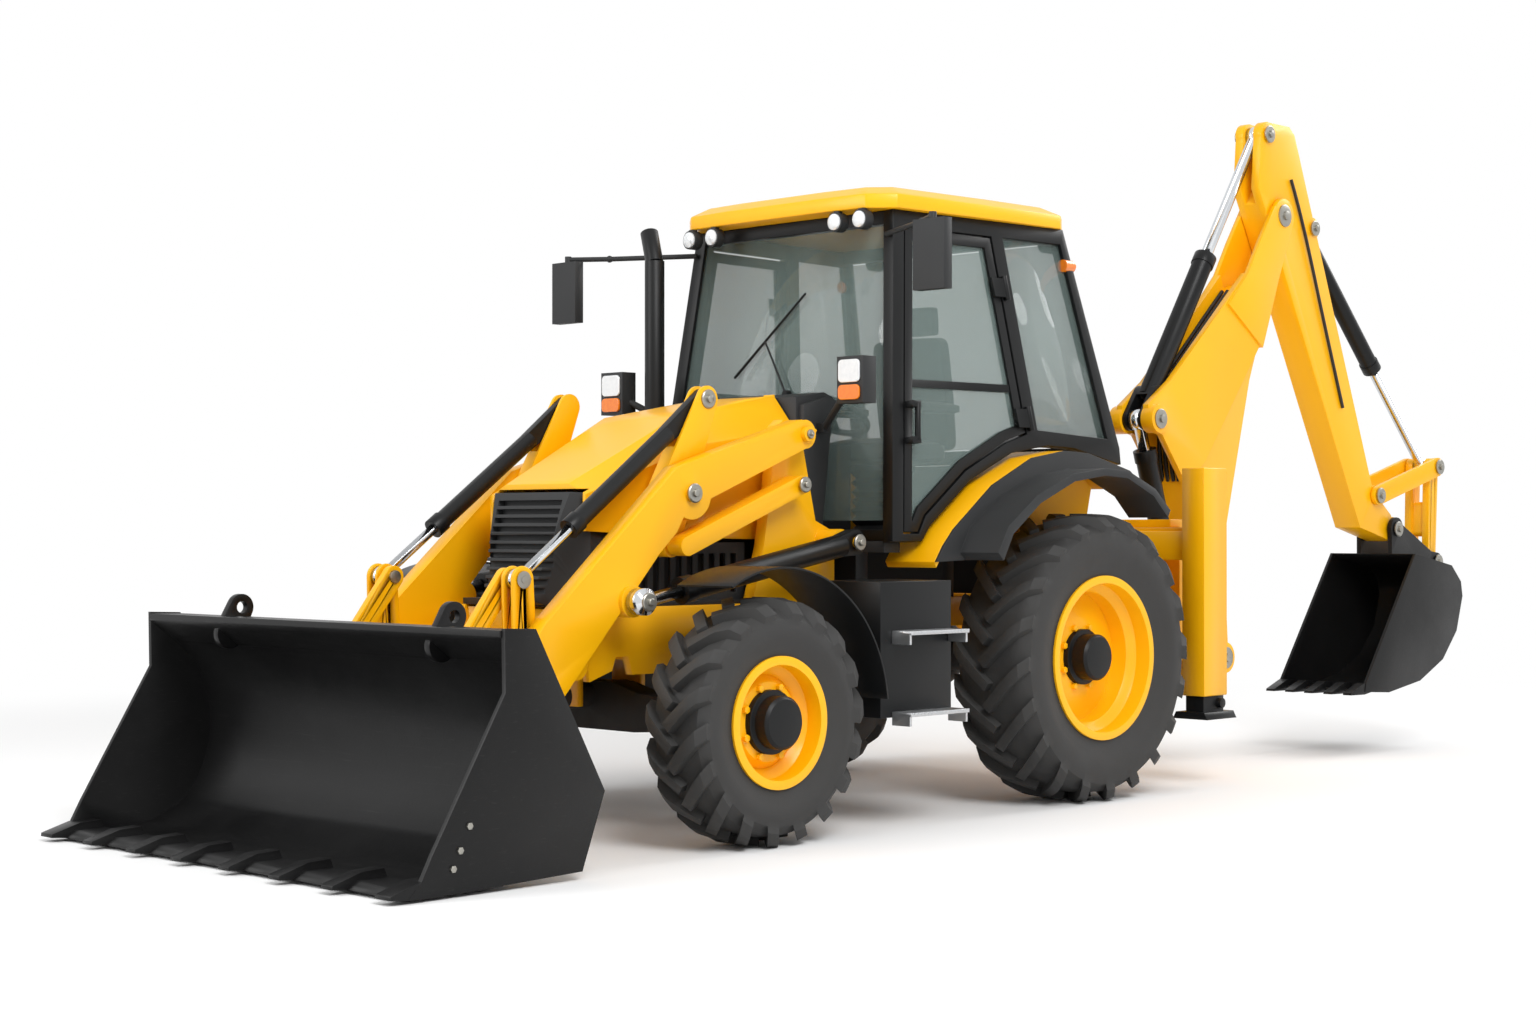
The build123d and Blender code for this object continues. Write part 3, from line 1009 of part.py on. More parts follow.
# Digging rams
parts["boom_ram_barrel"] = [ram_barrel(BOOM_RAM_BASE, RAM_EARS, Y0, 54, 860, 56, 60, 95, 32)]
parts["boom_ram_rod"] = [ram_rod(BOOM_RAM_BASE, RAM_EARS, Y0, 54, 220, 54, 50)]
parts["dipper_ram_barrel"] = [ram_barrel(RAM_EARS, DIPPER_TOP_PIN, Y0, 54, 1060, 56, 124, 140, 32, 36)]
parts["dipper_ram_rod"] = [ram_rod(RAM_EARS, DIPPER_TOP_PIN, Y0, 54, 930, 50, 54)]
parts["bucket_ram_barrel"] = [ram_barrel(BUCKET_RAM_PIN, LINK_TOP_PIN, Y0, 48, 1060, 52, 56, 150, 30)]
parts["bucket_ram_rod"] = [ram_rod(BUCKET_RAM_PIN, LINK_TOP_PIN, Y0, 48, 700, 50, 56)]

# Bucket linkage: a pair of levers on the dipper and a link to the bucket
bucket_levers = []
for side in (-1, 1):
    bucket_levers.append(
        link_bar(DIPPER_LEVER_PIN, LINK_TOP_PIN, 54, 54, Y0 + side * LEVER_Y, Y0 + side * (LEVER_Y + LEVER_PLATE))
        - cross_pin(DIPPER_LEVER_PIN, Y0 - 200, Y0 + 200, 30 + SEAT_GAP))
parts["dipper_levers"] = [
    lever + cross_pin(LINK_TOP_PIN, Y0 + side * LINK_INNER, Y0 + side * (LEVER_Y + LEVER_PLATE + 8), 30)
    for lever, side in zip(bucket_levers, (-1, 1))]
LINK_OUTER = 78
link_plates = None
for side in (-1, 1):
    cheek = link_bar(LINK_TOP_PIN, BUCKET_LINK_PIN, 52, 44, Y0 + side * LINK_INNER, Y0 + side * LINK_OUTER)
    link_plates = cheek if link_plates is None else link_plates + cheek
web_top = between(LINK_TOP_PIN, BUCKET_LINK_PIN, 0.42)
web_low = between(LINK_TOP_PIN, BUCKET_LINK_PIN, 0.68)
link_plates += link_bar(web_top, web_low, 30, 30, Y0 - LINK_INNER, Y0 + LINK_INNER)
for centre in (LINK_TOP_PIN, BUCKET_LINK_PIN):
    link_plates -= cross_pin(centre, Y0 - 200, Y0 + 200, 30 + SEAT_GAP)
parts["bucket_link"] = [link_plates]

# Digging bucket: a curled shell with teeth, side cutters and hinge ears
dig_outer = [
    (-3330, 1110), (-2790, 400), (-2780, 352), (-3035, 338), (-3380, 388), (-3640, 500), (-3800, 660), (-3870, 860), (-3852, 945), (-3745, 1040),
]
dig_inner = [
    (-3260, 1180), (-2700, 440), (-2760, 366), (-3038, 354), (-3374, 404), (-3630, 514), (-3786, 668), (-3854, 862), (-3838, 938), (-3740, 1024), (-3342, 1092),
]
dig_half = DIG_BUCKET_WIDTH / 2
dig_bucket = side_plate(dig_outer, Y0 - dig_half, Y0 + dig_half)
dig_bucket -= side_plate(dig_inner, Y0 - dig_half + 16, Y0 + dig_half - 16)
EAR_INNER = dipper_half + 8
for side in (-1, 1):
    ear = side_plate([
        (-3350, 1085), (-3350, 1251), (-3409, 1318), (-3480, 1270), (-3800, 1120), (-3868, 1112), (-3925, 1056), (-3868, 960), (-3700, 1050)],
        Y0 + side * EAR_INNER, Y0 + side * (EAR_INNER + 26))
    ear -= side_plate(dig_inner, Y0 - dig_half, Y0 + dig_half)
    ear += cross_pin(DIPPER_END, Y0 + side * EAR_INNER, Y0 + side * (EAR_INNER + 26), 66)
    ear += cross_pin(BUCKET_LINK_PIN, Y0 + side * EAR_INNER, Y0 + side * (EAR_INNER + 26), 56)
    dig_bucket += ear
dig_bucket += cross_pin(DIPPER_END, Y0 - EAR_INNER - 34, Y0 + EAR_INNER + 34, 34)
for side in (-1, 1):
    dig_bucket += cross_pin(BUCKET_LINK_PIN, Y0 + side * EAR_INNER, Y0 + side * (EAR_INNER + 34), 30)
for i in range(DIG_TEETH):
    y = Y0 - dig_half + 30 + i * (DIG_BUCKET_WIDTH - 60) / (DIG_TEETH - 1)
    dig_bucket += side_plate([(-2850, 348), (-2850, 396), (-2780, 400), (-2642, 352), (-2640, 340), (-2780, 338)], y - 26, y + 26)
parts["digging_bucket"] = [dig_bucket]

os.makedirs("parts", exist_ok=True)
for name, solids in parts.items():
    pieces = [solid for shape in solids for solid in shape.solids()]
    export_step(Pos(-DATUM_X, 0, 0) * Compound(children=pieces), "parts/" + name + ".step")
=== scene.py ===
import bpy
import bmesh
import math
from mathutils import Matrix, Vector


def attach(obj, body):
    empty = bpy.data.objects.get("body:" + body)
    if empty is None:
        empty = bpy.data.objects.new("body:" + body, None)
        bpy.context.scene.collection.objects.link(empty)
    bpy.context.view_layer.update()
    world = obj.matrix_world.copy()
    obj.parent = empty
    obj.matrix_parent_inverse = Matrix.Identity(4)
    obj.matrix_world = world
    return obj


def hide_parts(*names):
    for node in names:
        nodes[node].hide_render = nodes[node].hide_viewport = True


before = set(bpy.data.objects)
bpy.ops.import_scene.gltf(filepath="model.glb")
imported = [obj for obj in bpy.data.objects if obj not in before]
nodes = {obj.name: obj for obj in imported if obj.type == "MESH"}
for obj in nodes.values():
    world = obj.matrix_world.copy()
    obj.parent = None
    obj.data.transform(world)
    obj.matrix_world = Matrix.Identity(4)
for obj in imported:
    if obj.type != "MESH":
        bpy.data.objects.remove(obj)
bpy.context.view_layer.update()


# Tyres: black ply rubber moulded in a heated press, with deep slanted bars.
# New tread rubber is dull, a little brown from dust in the grooves, and the bars' tops are rubbed smoother.
def linear(hex_colour):
    channels = [int(hex_colour[i:i + 2], 16) / 255 for i in (1, 3, 5)]
    return [c / 12.92 if c <= 0.04045 else ((c + 0.055) / 1.055) ** 2.4 for c in channels] + [1.0]


def add_node(tree, kind, settings=None, **inputs):
    """Adds a node, sets its properties, and fills its sockets with values or links."""
    node = tree.nodes.new(kind)
    for key, value in (settings or {}).items():
        setattr(node, key, value)
    for key, value in inputs.items():
        numbered = key[0] == "_" and key[1:].isdigit()
        socket = node.inputs[int(key[1:])] if numbered else node.inputs[key.replace("_", " ")]
        if isinstance(value, bpy.types.NodeSocket):
            tree.links.new(value, socket)
        else:
            socket.default_value = value
    return node


def new_material(name, **surface):
    material = bpy.data.materials.new(name)
    material.use_nodes = True
    tree = material.node_tree
    shader = tree.nodes["Principled BSDF"]
    for key, value in surface.items():
        shader.inputs[key.replace("_", " ")].default_value = value
    place = add_node(tree, "ShaderNodeTexCoord").outputs["Object"]
    return material, tree, shader, place


def mottled(tree, shader, place, dark, light, grain, rough_low, rough_high, bump_height, bump_grain):
    """Colour and roughness that vary a little over the surface, and a fine relief."""
    cloud = add_node(tree, "ShaderNodeTexNoise", Vector=place, Scale=grain, Detail=6.0, Roughness=0.6)
    shades = add_node(
        tree, "ShaderNodeMix", {"data_type": "RGBA"},
        _0=cloud.outputs["Fac"], _6=linear(dark), _7=linear(light))
    tree.links.new(shades.outputs[2], shader.inputs["Base Color"])
    sheen = add_node(
        tree, "ShaderNodeMapRange", Value=cloud.outputs["Fac"],
        From_Min=0.3, From_Max=0.7, To_Min=rough_low, To_Max=rough_high)
    tree.links.new(sheen.outputs["Result"], shader.inputs["Roughness"])
    fine = add_node(tree, "ShaderNodeTexNoise", Vector=place, Scale=bump_grain, Detail=4.0)
    relief = add_node(tree, "ShaderNodeBump", Height=fine.outputs["Fac"], Strength=0.5, Distance=bump_height)
    tree.links.new(relief.outputs["Normal"], shader.inputs["Normal"])
    return shades


tread_rubber, tree, shader, place = new_material("tread_rubber", IOR=1.52)
mottled(tree, shader, place, "#222223", "#343331", 6, 0.62, 0.8, 0.0008, 260)


def dress(material, *names, bevel=0.0, angle=40):
    """Gives CAD nodes a material, and rounds their edges a little where a bevel is named."""
    for name in names:
        piece = nodes[name]
        piece.data.materials.clear()
        piece.data.materials.append(material)
        weld = piece.modifiers.new("weld", "WELD")
        weld.merge_threshold = 0.00005
        if bevel:
            rounded = piece.modifiers.new("rounded", "BEVEL")
            rounded.width = bevel
            rounded.segments = 2
            rounded.limit_method = "ANGLE"
            rounded.angle_limit = math.radians(angle)
            rounded.harden_normals = False
        smooth_by_angle(piece, angle)


def smooth_by_angle(piece, angle=40):
    mesh = piece.data
    mesh.polygons.foreach_set("use_smooth", [True] * len(mesh.polygons))
    if "custom_normal" in mesh.attributes:
        mesh.attributes.remove(mesh.attributes["custom_normal"])
    mesh.set_sharp_from_angle(angle=math.radians(angle))
    mesh.update()


dress(tread_rubber, "front_tyre_left", "front_tyre_right", "rear_tyre_left", "rear_tyre_right",
      bevel=0.006, angle=30)

# Enamelled steel: welded plate, shot-blasted, primed and sprayed with a warm yellow two-pack enamel.
# It is glossy with a faint orange peel, and shows small differences of shade from panel to panel.
yellow_enamel, tree, shader, place = new_material(
    "yellow_enamel", IOR=1.5, Specular_IOR_Level=0.35, Coat_Weight=0.12, Coat_Roughness=0.12)
mottled(tree, shader, place, "#fbb200", "#ffbe06", 1.4, 0.32, 0.42, 0.00015, 90)
dress(yellow_enamel, "loader_arms", "levelling_levers", "levelling_links", "tipping_levers", "tipping_links",
      "boom", "dipper", "dipper_levers", "bucket_link", "carriage", "swing_casting", "rear_frame",
      bevel=0.005)
dress(yellow_enamel, "front_rim_left", "front_rim_right", "rear_rim_left", "rear_rim_right", bevel=0.003)
dress(yellow_enamel, "chassis_frame", "hood", "cab_roof", "rear_fenders", bevel=0.006, angle=30)

# Black powder coat: baked on brackets, the cab's tubes, the rams' barrels and the tanks.
# It is a satin black with a very fine texture, a little lighter where the light rakes it.
black_coat, tree, shader, place = new_material("black_powder_coat", IOR=1.5, Specular_IOR_Level=0.25)
mottled(tree, shader, place, "#0d0e0f", "#151617", 3, 0.34, 0.46, 0.0002, 400)
dress(black_coat, "cab_frame", "door_left", "door_right", "side_tanks", "exhaust_stack", "front_fenders",
      "lift_ram_barrels", "tilt_ram_barrels", "boom_ram_barrel", "dipper_ram_barrel", "bucket_ram_barrel",
      "stabiliser_left", "stabiliser_right", bevel=0.003)

# Wheel hubs: planetary hubs bolted inside the rims, in the same black as the axles.
# The hub's faces lie within 0.129 m of the axle's line.
for rim, axle_x, axle_z in (("front_rim", 2.09, 0.492), ("rear_rim", -0.06, 0.662)):
    for side_name in ("left", "right"):
        mesh = nodes[f"{rim}_{side_name}"].data
        mesh.materials.append(black_coat)
        for face in mesh.polygons:
            spots = [mesh.vertices[v].co for v in face.vertices]
            if all(math.hypot(spot.x - axle_x, spot.z - axle_z) < 0.129 for spot in spots):
                face.material_index = 1

# Cast iron: the axles, knuckles and engine block, poured in sand and sprayed with chassis black.
# The skin keeps the sand's coarse grain under the paint.
cast_iron, tree, shader, place = new_material("sand_cast_iron", Metallic=0.3)
mottled(tree, shader, place, "#1d1c1b", "#2b2927", 9, 0.5, 0.68, 0.0012, 150)
dress(cast_iron, "axles", "knuckle_left", "knuckle_right", "engine_block", bevel=0.006)

# Bucket steel: hard wear-resistant plate painted black, with the paint scuffed by the load.
# The scuffs run along the sheet and show greyer and duller than the paint around them.
bucket_steel, tree, shader, place = new_material(
    "scuffed_bucket_steel", Metallic=0.1, Specular_IOR_Level=0.25)
shades = mottled(tree, shader, place, "#0f0f10", "#1a1a1a", 2.2, 0.32, 0.5, 0.0005, 60)
streak_place = add_node(tree, "ShaderNodeMapping", Vector=place, Scale=(7, 1.2, 40))
streaks = add_node(
    tree, "ShaderNodeTexNoise", Vector=streak_place.outputs["Vector"],
    Scale=3.0, Detail=8.0, Roughness=0.75)
scuffed = add_node(
    tree, "ShaderNodeMapRange", Value=streaks.outputs["Fac"],
    From_Min=0.58, From_Max=0.8, To_Min=0.0, To_Max=0.6)
worn = add_node(
    tree, "ShaderNodeMix", {"data_type": "RGBA"},
    _0=scuffed.outputs["Result"], _6=shades.outputs[2], _7=linear("#3a3938"))
tree.links.new(worn.outputs[2], shader.inputs["Base Color"])
dress(bucket_steel, "loader_bucket", "digging_bucket", bevel=0.004)

# Chromed rods: ground steel bar with hard chrome plating, kept bright by the ram's seal.
# Faint rings of oil make the gloss vary along the rod.
hard_chrome, tree, shader, place = new_material("hard_chrome", Metallic=1.0)
mottled(tree, shader, place, "#c9cccf", "#dcdfe2", 14, 0.1, 0.2, 0.0001, 500)
dress(hard_chrome, "lift_ram_rods", "tilt_ram_rods", "boom_ram_rod", "dipper_ram_rod", "bucket_ram_rod")

# Pins: turned and induction-hardened steel with a zinc finish.
# The zinc is a soft grey with a dull shine and a slight yellow cast.
zinc_plate, tree, shader, place = new_material("zinc_plated_steel", Metallic=0.9)
mottled(tree, shader, place, "#8f8d86", "#aeaca4", 30, 0.3, 0.45, 0.0002, 300)
dress(zinc_plate, "tipping_pivot_pins", "bucket_pivot_pins", "tilt_ram_pins", bevel=0.003)

# Moulded ABS: dark grey flares, cowl, grilles, console and mirror shells.
# The tool leaves a leather-like grain that keeps the plastic matte.
moulded_abs, tree, shader, place = new_material("moulded_abs", IOR=1.53, Specular_IOR_Level=0.3)
mottled(tree, shader, place, "#232425", "#2c2d2e", 4, 0.5, 0.62, 0.0004, 520)
dress(moulded_abs, "fender_flares", "cab_base", "grilles", "console", "mirrors", "lamps",
      bevel=0.005, angle=30)

# Step treads: pressed aluminium sheet with raised round dimples that grip a boot.
# Dimples stand 22 mm apart, and their tops are rubbed bright.
tread_sheet, tree, shader, place = new_material("dimpled_aluminium", Metallic=0.9)
mottled(tree, shader, place, "#b5b7b9", "#cfd1d3", 20, 0.3, 0.42, 0.0002, 300)
cells = add_node(tree, "ShaderNodeTexVoronoi", Vector=place, Scale=45.0, Randomness=0.0)
dots = add_node(
    tree, "ShaderNodeMapRange", Value=cells.outputs["Distance"],
    From_Min=0.18, From_Max=0.34, To_Min=1.0, To_Max=0.0)
raised = add_node(tree, "ShaderNodeBump", Height=dots.outputs["Result"], Strength=1.0, Distance=0.002)
tree.links.new(raised.outputs["Normal"], shader.inputs["Normal"])
dress(tread_sheet, "steps", bevel=0.002)

# Cab glass: toughened float glass with a light grey-green tint.
# Thin and flat, so it reflects the studio and darkens what is behind it a little.
tinted_glass, tree, shader, place = new_material("tinted_glass", IOR=1.5, Roughness=0.02)
shader.inputs["Base Color"].default_value = linear("#7f918d")
shader.inputs["Alpha"].default_value = 0.38
waver = add_node(tree, "ShaderNodeTexNoise", Vector=place, Scale=1.5)
flat_relief = add_node(tree, "ShaderNodeBump", Height=waver.outputs["Fac"], Strength=0.05, Distance=0.001)
tree.links.new(flat_relief.outputs["Normal"], shader.inputs["Normal"])
dress(tinted_glass, "cab_glass")


# The frame's origin lies this far ahead of the rear axle, in metres; sizes below count from the axle.
origin_shift = 0.06


def side_plane_depth(point):
    """How far a point lies inside the cab's leaning side, in metres."""
    x, y, z = point[0] + origin_shift, abs(point[1]), point[2]
    return (0.979 - 0.0737 * x - 0.1047 * z - y) * 0.9919


for door in ("door_left", "door_right"):
    mesh = nodes[door].data
    mesh.materials.append(tinted_glass)
    for face in mesh.polygons:
        depths = [side_plane_depth(mesh.vertices[v].co) for v in face.vertices]
        if all(0.0165 < d < 0.0275 for d in depths) and max(depths) - min(depths) < 0.002:
            face.material_index = 1

# Seat: a foam cushion, backrest and headrest in dark woven cloth with piped edges, on a bellows pedestal.
# Each cushion is crowned, pulled in at its corners, and carries two sewn channels.
seat_cloth, tree, shader, place = new_material("woven_seat_cloth", Sheen_Weight=0.3)
mottled(tree, shader, place, "#1d1f21", "#2b2d30", 40, 0.8, 0.92, 0.0006, 900)


def cushion(name, centre, size, lean=0.0, crown=0.12):
    """A pillow form whose faces bulge and whose edges draw in towards the corners."""
    bm = bmesh.new()
    bmesh.ops.create_cube(bm, size=1.0)
    bmesh.ops.subdivide_edges(bm, edges=bm.edges[:], cuts=6, use_grid_fill=True)
    for vert in bm.verts:
        x, y, z = vert.co * 2
        swell = (1 - x * x) * (1 - y * y)
        depth = size[2] / 2 * (0.62 + 0.38 * (1 - max(abs(x), abs(y)) ** 6) + crown * swell)
        groove = 0.93 if abs(abs(y) - 0.66) < 0.05 else 1.0
        pull = 1 - 0.03 * abs(x * y)
        vert.co = Vector((x * size[0] / 2 * pull, y * size[1] / 2 * pull, z * depth * groove))
    turn = Matrix.Translation(centre) @ Matrix.Rotation(lean, 4, "Y")
    bmesh.ops.transform(bm, matrix=turn, verts=bm.verts)
    mesh = bpy.data.meshes.new(name)
    bm.to_mesh(mesh)
    bm.free()
    piece = bpy.data.objects.new(name, mesh)
    bpy.context.scene.collection.objects.link(piece)
    mesh.polygons.foreach_set("use_smooth", [True] * len(mesh.polygons))
    mesh.materials.append(seat_cloth)
    subdivided = piece.modifiers.new("subdivided", "SUBSURF")
    subdivided.levels = 1
    subdivided.render_levels = 1
    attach(piece, "chassis")
    return piece


seat_base = cushion("seat_cushion", (0.28, 0, 1.62), (0.44, 0.47, 0.12))
cushion("seat_backrest", (0.045, 0, 1.9), (0.56, 0.45, 0.11), lean=math.radians(97))
cushion("seat_headrest", (0.03, 0, 2.26), (0.14, 0.25, 0.08), lean=math.radians(94))
cushion("seat_armrest_left", (0.235, 0.292, 1.825), (0.32, 0.06, 0.05))
cushion("seat_armrest_right", (0.235, -0.292, 1.825), (0.32, 0.06, 0.05))


def mesh_piece(name, build, material, body, smooth=30, bevel=0.0):
    """Builds a mesh with the given steps and lets it ride on a body."""
    bm = bmesh.new()
    build(bm)
    bmesh.ops.recalc_face_normals(bm, faces=bm.faces)
    mesh = bpy.data.meshes.new(name)
    bm.to_mesh(mesh)
    bm.free()
    piece = bpy.data.objects.new(name, mesh)
    bpy.context.scene.collection.objects.link(piece)
    mesh.materials.append(material)
    mesh.polygons.foreach_set("use_smooth", [True] * len(mesh.polygons))
    mesh.set_sharp_from_angle(angle=math.radians(smooth))
    if bevel:
        rounded = piece.modifiers.new("rounded", "BEVEL")
        rounded.width = bevel
        rounded.segments = 3
        rounded.limit_method = "ANGLE"
    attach(piece, body)
    return piece


def add_prism(bm, corners, direction):
    """A closed prism from one outline, carried along a direction."""
    low = [bm.verts.new(c) for c in corners]
    high = [bm.verts.new(Vector(c) + Vector(direction)) for c in corners]
    bm.faces.new(low)
    bm.faces.new(high[::-1])
    count = len(corners)
    for i in range(count):
        bm.faces.new((low[i], low[(i + 1) % count], high[(i + 1) % count], high[i]))


def add_turned(bm, origin, direction, profile, sides=24):
    """A turned form: rings of (distance along, radius) about a direction, closed at both ends."""
    turn = Vector(direction).to_track_quat("Z", "Y").to_matrix()
    rings = []
    for along, radius in profile:
        ring = []
        for i in range(sides):
            a = 2 * math.pi * i / sides
            spot = turn @ Vector((radius * math.cos(a), radius * math.sin(a), along))
            ring.append(bm.verts.new(Vector(origin) + spot))
        rings.append(ring)
    for first, second in zip(rings, rings[1:]):
        for i in range(sides):
            bm.faces.new((first[i], first[(i + 1) % sides], second[(i + 1) % sides], second[i]))
    bm.faces.new(rings[0])
    bm.faces.new(rings[-1][::-1])


def seat_pedestal(bm):
    profile = [(0, 0.15), (0.02, 0.155)]
    for i in range(6):
        profile += [(0.05 + i * 0.045, 0.15), (0.07 + i * 0.045, 0.125)]
    profile += [(0.33, 0.16), (0.355, 0.16)]
    add_turned(bm, (0.28, 0, 1.2), (0, 0, 1), profile, 32)


mesh_piece("seat_pedestal", seat_pedestal, moulded_abs, "chassis")
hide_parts("seat")

# Pin heads: each pivot pin carries a turned head with a grease nipple's hollow and a bolt.
# They are zinc plated, and stand a few millimetres proud of the plates they hold.
def pin_head(bm, x, z, y, side, radius, height=22):
    base = (x / 1000 - origin_shift, y / 1000, z / 1000)
    r = radius / 1000
    h = height / 1000
    add_turned(bm, base, (0, side, 0), [
        (0, r), (h * 0.3, r), (h * 0.45, r * 0.88), (h * 0.45, r * 0.42), (h * 0.9, r * 0.4), (h, r * 0.3)])


def pin_heads(name, body, spots):
    def build(bm):
        for spot in spots:
            pin_head(bm, *spot)
    mesh_piece(name, build, zinc_plate, body)


def pair_of_heads(*spots, centre=0):
    """The heads on both sides of a centre plane, from (x, z, distance from the plane, radius, height)."""
    return [(x, z, centre + side * y, side, *sizes) for side in (1, -1) for x, z, y, *sizes in spots]


digger_y = 500
pin_heads("arm_pin_heads", "loader_arms", pair_of_heads((2142, 1400, 589, 40), (2481, 965, 685, 38)))
pin_heads("lever_pin_heads", "levelling_levers", pair_of_heads((1958, 1796, 477, 40)))
pin_heads("tilt_pin_heads", "tilt_ram_pins", pair_of_heads((2950, 1057, 483, 34, 4)))
pin_heads("tower_pin_heads", "chassis", pair_of_heads(
    (1470, 1660, 600, 20), (1490, 1443, 589, 34), (1250, 1195, 685, 36)))
pin_heads("tipping_pin_heads", "tipping_pivot_pins", pair_of_heads((2934, 661, 587, 36)))
pin_heads("boom_pin_heads", "boom", pair_of_heads(
    (-1050, 1808, 135, 50), (-2231, 2944, 112, 60), centre=digger_y))
pin_heads("casting_pin_heads", "swing_casting", pair_of_heads((-1660, 580, 116, 56), centre=digger_y))
pin_heads("dipper_pin_heads", "dipper", pair_of_heads(
    (-2117, 3374, 92, 46), (-2569, 2908, 92, 42), (-3221, 1442, 118, 44), centre=digger_y))
pin_heads("lever_end_heads", "dipper_levers", pair_of_heads((-3893, 1617, 118, 44), centre=digger_y))
pin_heads("digging_pin_heads", "digging_bucket", pair_of_heads(
    (-3409, 1251, 122, 44), (-3868, 1056, 122, 44), centre=digger_y))

# Lamps: clear work lamps in black shells, and head lamps with an amber indicator under a clear lens.
# The lenses are polycarbonate, domed, with a silvered bowl behind that shows bright.
lamp_lens, tree, shader, place = new_material("clear_polycarbonate", IOR=1.58, Coat_Weight=0.8, Metallic=0.25)
mottled(tree, shader, place, "#d9dde0", "#f4f6f7", 60, 0.08, 0.2, 0.001, 120)
amber_lens, tree, shader, place = new_material("amber_acrylic", IOR=1.49, Coat_Weight=0.8)
mottled(tree, shader, place, "#e06a08", "#f58a12", 60, 0.1, 0.2, 0.001, 120)


def work_lenses(bm):
    dome = [(0, 0.037), (0.006, 0.036), (0.012, 0.028), (0.015, 0.014), (0.0155, 0.004)]
    for side in (-1, 1):
        for y in (0.395, 0.545):
            add_turned(bm, (1.039, side * y, 2.622), (1, 0, 0), dome, 28)
        add_turned(bm, (-0.325, side * 0.56, 2.622), (-1, 0, 0), dome, 28)


def rounded_plate(bm, low, high, depth, radius, x):
    corners = []
    (y0, z0), (y1, z1) = low, high
    for cy, cz, start in (
            (y1 - radius, z1 - radius, 0), (y0 + radius, z1 - radius, 90),
            (y0 + radius, z0 + radius, 180), (y1 - radius, z0 + radius, 270)):
        for i in range(5):
            a = math.radians(start + i * 22.5)
            corners.append((x, cy + radius * math.cos(a), cz + radius * math.sin(a)))
    add_prism(bm, corners, (depth, 0, 0))


def head_lenses(bm):
    for side in (-1, 1):
        y0, y1 = sorted((side * 0.702, side * 0.824))
        rounded_plate(bm, (y0, 1.878), (y1, 1.976), 0.01, 0.02, 1.336)


def amber_lenses(bm):
    for side in (-1, 1):
        y0, y1 = sorted((side * 0.702, side * 0.824))
        rounded_plate(bm, (y0, 1.804), (y1, 1.868), 0.012, 0.02, 1.336)
        add_turned(bm, (-0.2, side * 0.715, 2.5), (-1, 0, 0), [(0, 0.03), (0.07, 0.03), (0.08, 0.022)])


mesh_piece("work_lamp_lenses", work_lenses, lamp_lens, "chassis")
mesh_piece("head_lamp_lenses", head_lenses, lamp_lens, "chassis", bevel=0.003)
mesh_piece("indicator_lenses", amber_lenses, amber_lens, "chassis", bevel=0.003)

# Mirrors: silvered glass let into the back of each moulded shell.
# The glass is flat, with a fine dark edge where the shell holds it.
mirror_glass, tree, shader, place = new_material("silvered_glass", Metallic=1.0)
mottled(tree, shader, place, "#c8ccd0", "#d4d8dc", 2, 0.02, 0.05, 0.00005, 20)


def mirror_panes(bm):
    for side in (-1, 1):
        y0, y1 = sorted((side * 1.095, side * 1.235))
        rounded_plate(bm, (y0, 2.265), (y1, 2.53), -0.003, 0.025, 1.2395)


mesh_piece("mirror_glass", mirror_panes, mirror_glass, "chassis")

# Wiper: a pressed steel arm with a rubber blade, on a spindle at the foot of the windscreen.
# It is black and rests leaning across the glass.

def wiper(bm):
    def on_screen(y, z, lift):
        return Vector((1.13 - 0.111 * (z - 1.2) - origin_shift - 0.02 + lift, y, z))
    foot = on_screen(0.06, 1.87, 0.03)
    knee = on_screen(-0.1, 2.12, 0.03)
    blade_low, blade_high = on_screen(-0.3, 1.96, 0.012), on_screen(0.12, 2.33, 0.012)
    for start, end, r in ((foot, knee, 0.006), (blade_low, blade_high, 0.007)):
        way = end - start
        add_turned(bm, start, way, [(0, r), (way.length, r * 0.8)], 8)
    add_turned(bm, foot + Vector((-0.02, 0, 0)), (1, 0, 0), [(0, 0.018), (0.03, 0.016)], 16)


mesh_piece("wiper", wiper, black_coat, "chassis")

# Hydraulic pipes and hoses: wire-braided rubber and steel pipe, clipped along the boom and the dipper.
# The cover is smooth black rubber, dull with a slight sheen.
hose_rubber, tree, shader, place = new_material("hose_rubber", IOR=1.5)
mottled(tree, shader, place, "#141414", "#1e1e1e", 12, 0.45, 0.55, 0.0003, 300)


def pipe(name, points, radius, body):
    curve = bpy.data.curves.new(name, "CURVE")
    curve.dimensions = "3D"
    curve.bevel_depth = radius / 1000
    curve.bevel_resolution = 3
    spline = curve.splines.new("NURBS")
    spline.points.add(len(points) - 1)
    for point, (x, y, z) in zip(spline.points, points):
        point.co = (x / 1000 - origin_shift, y / 1000, z / 1000, 1)
    spline.order_u = 3
    spline.use_endpoint_u = True
    spline.resolution_u = 8
    curve.materials.append(hose_rubber)
    piece = bpy.data.objects.new(name, curve)
    bpy.context.scene.collection.objects.link(piece)
    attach(piece, body)
    return piece


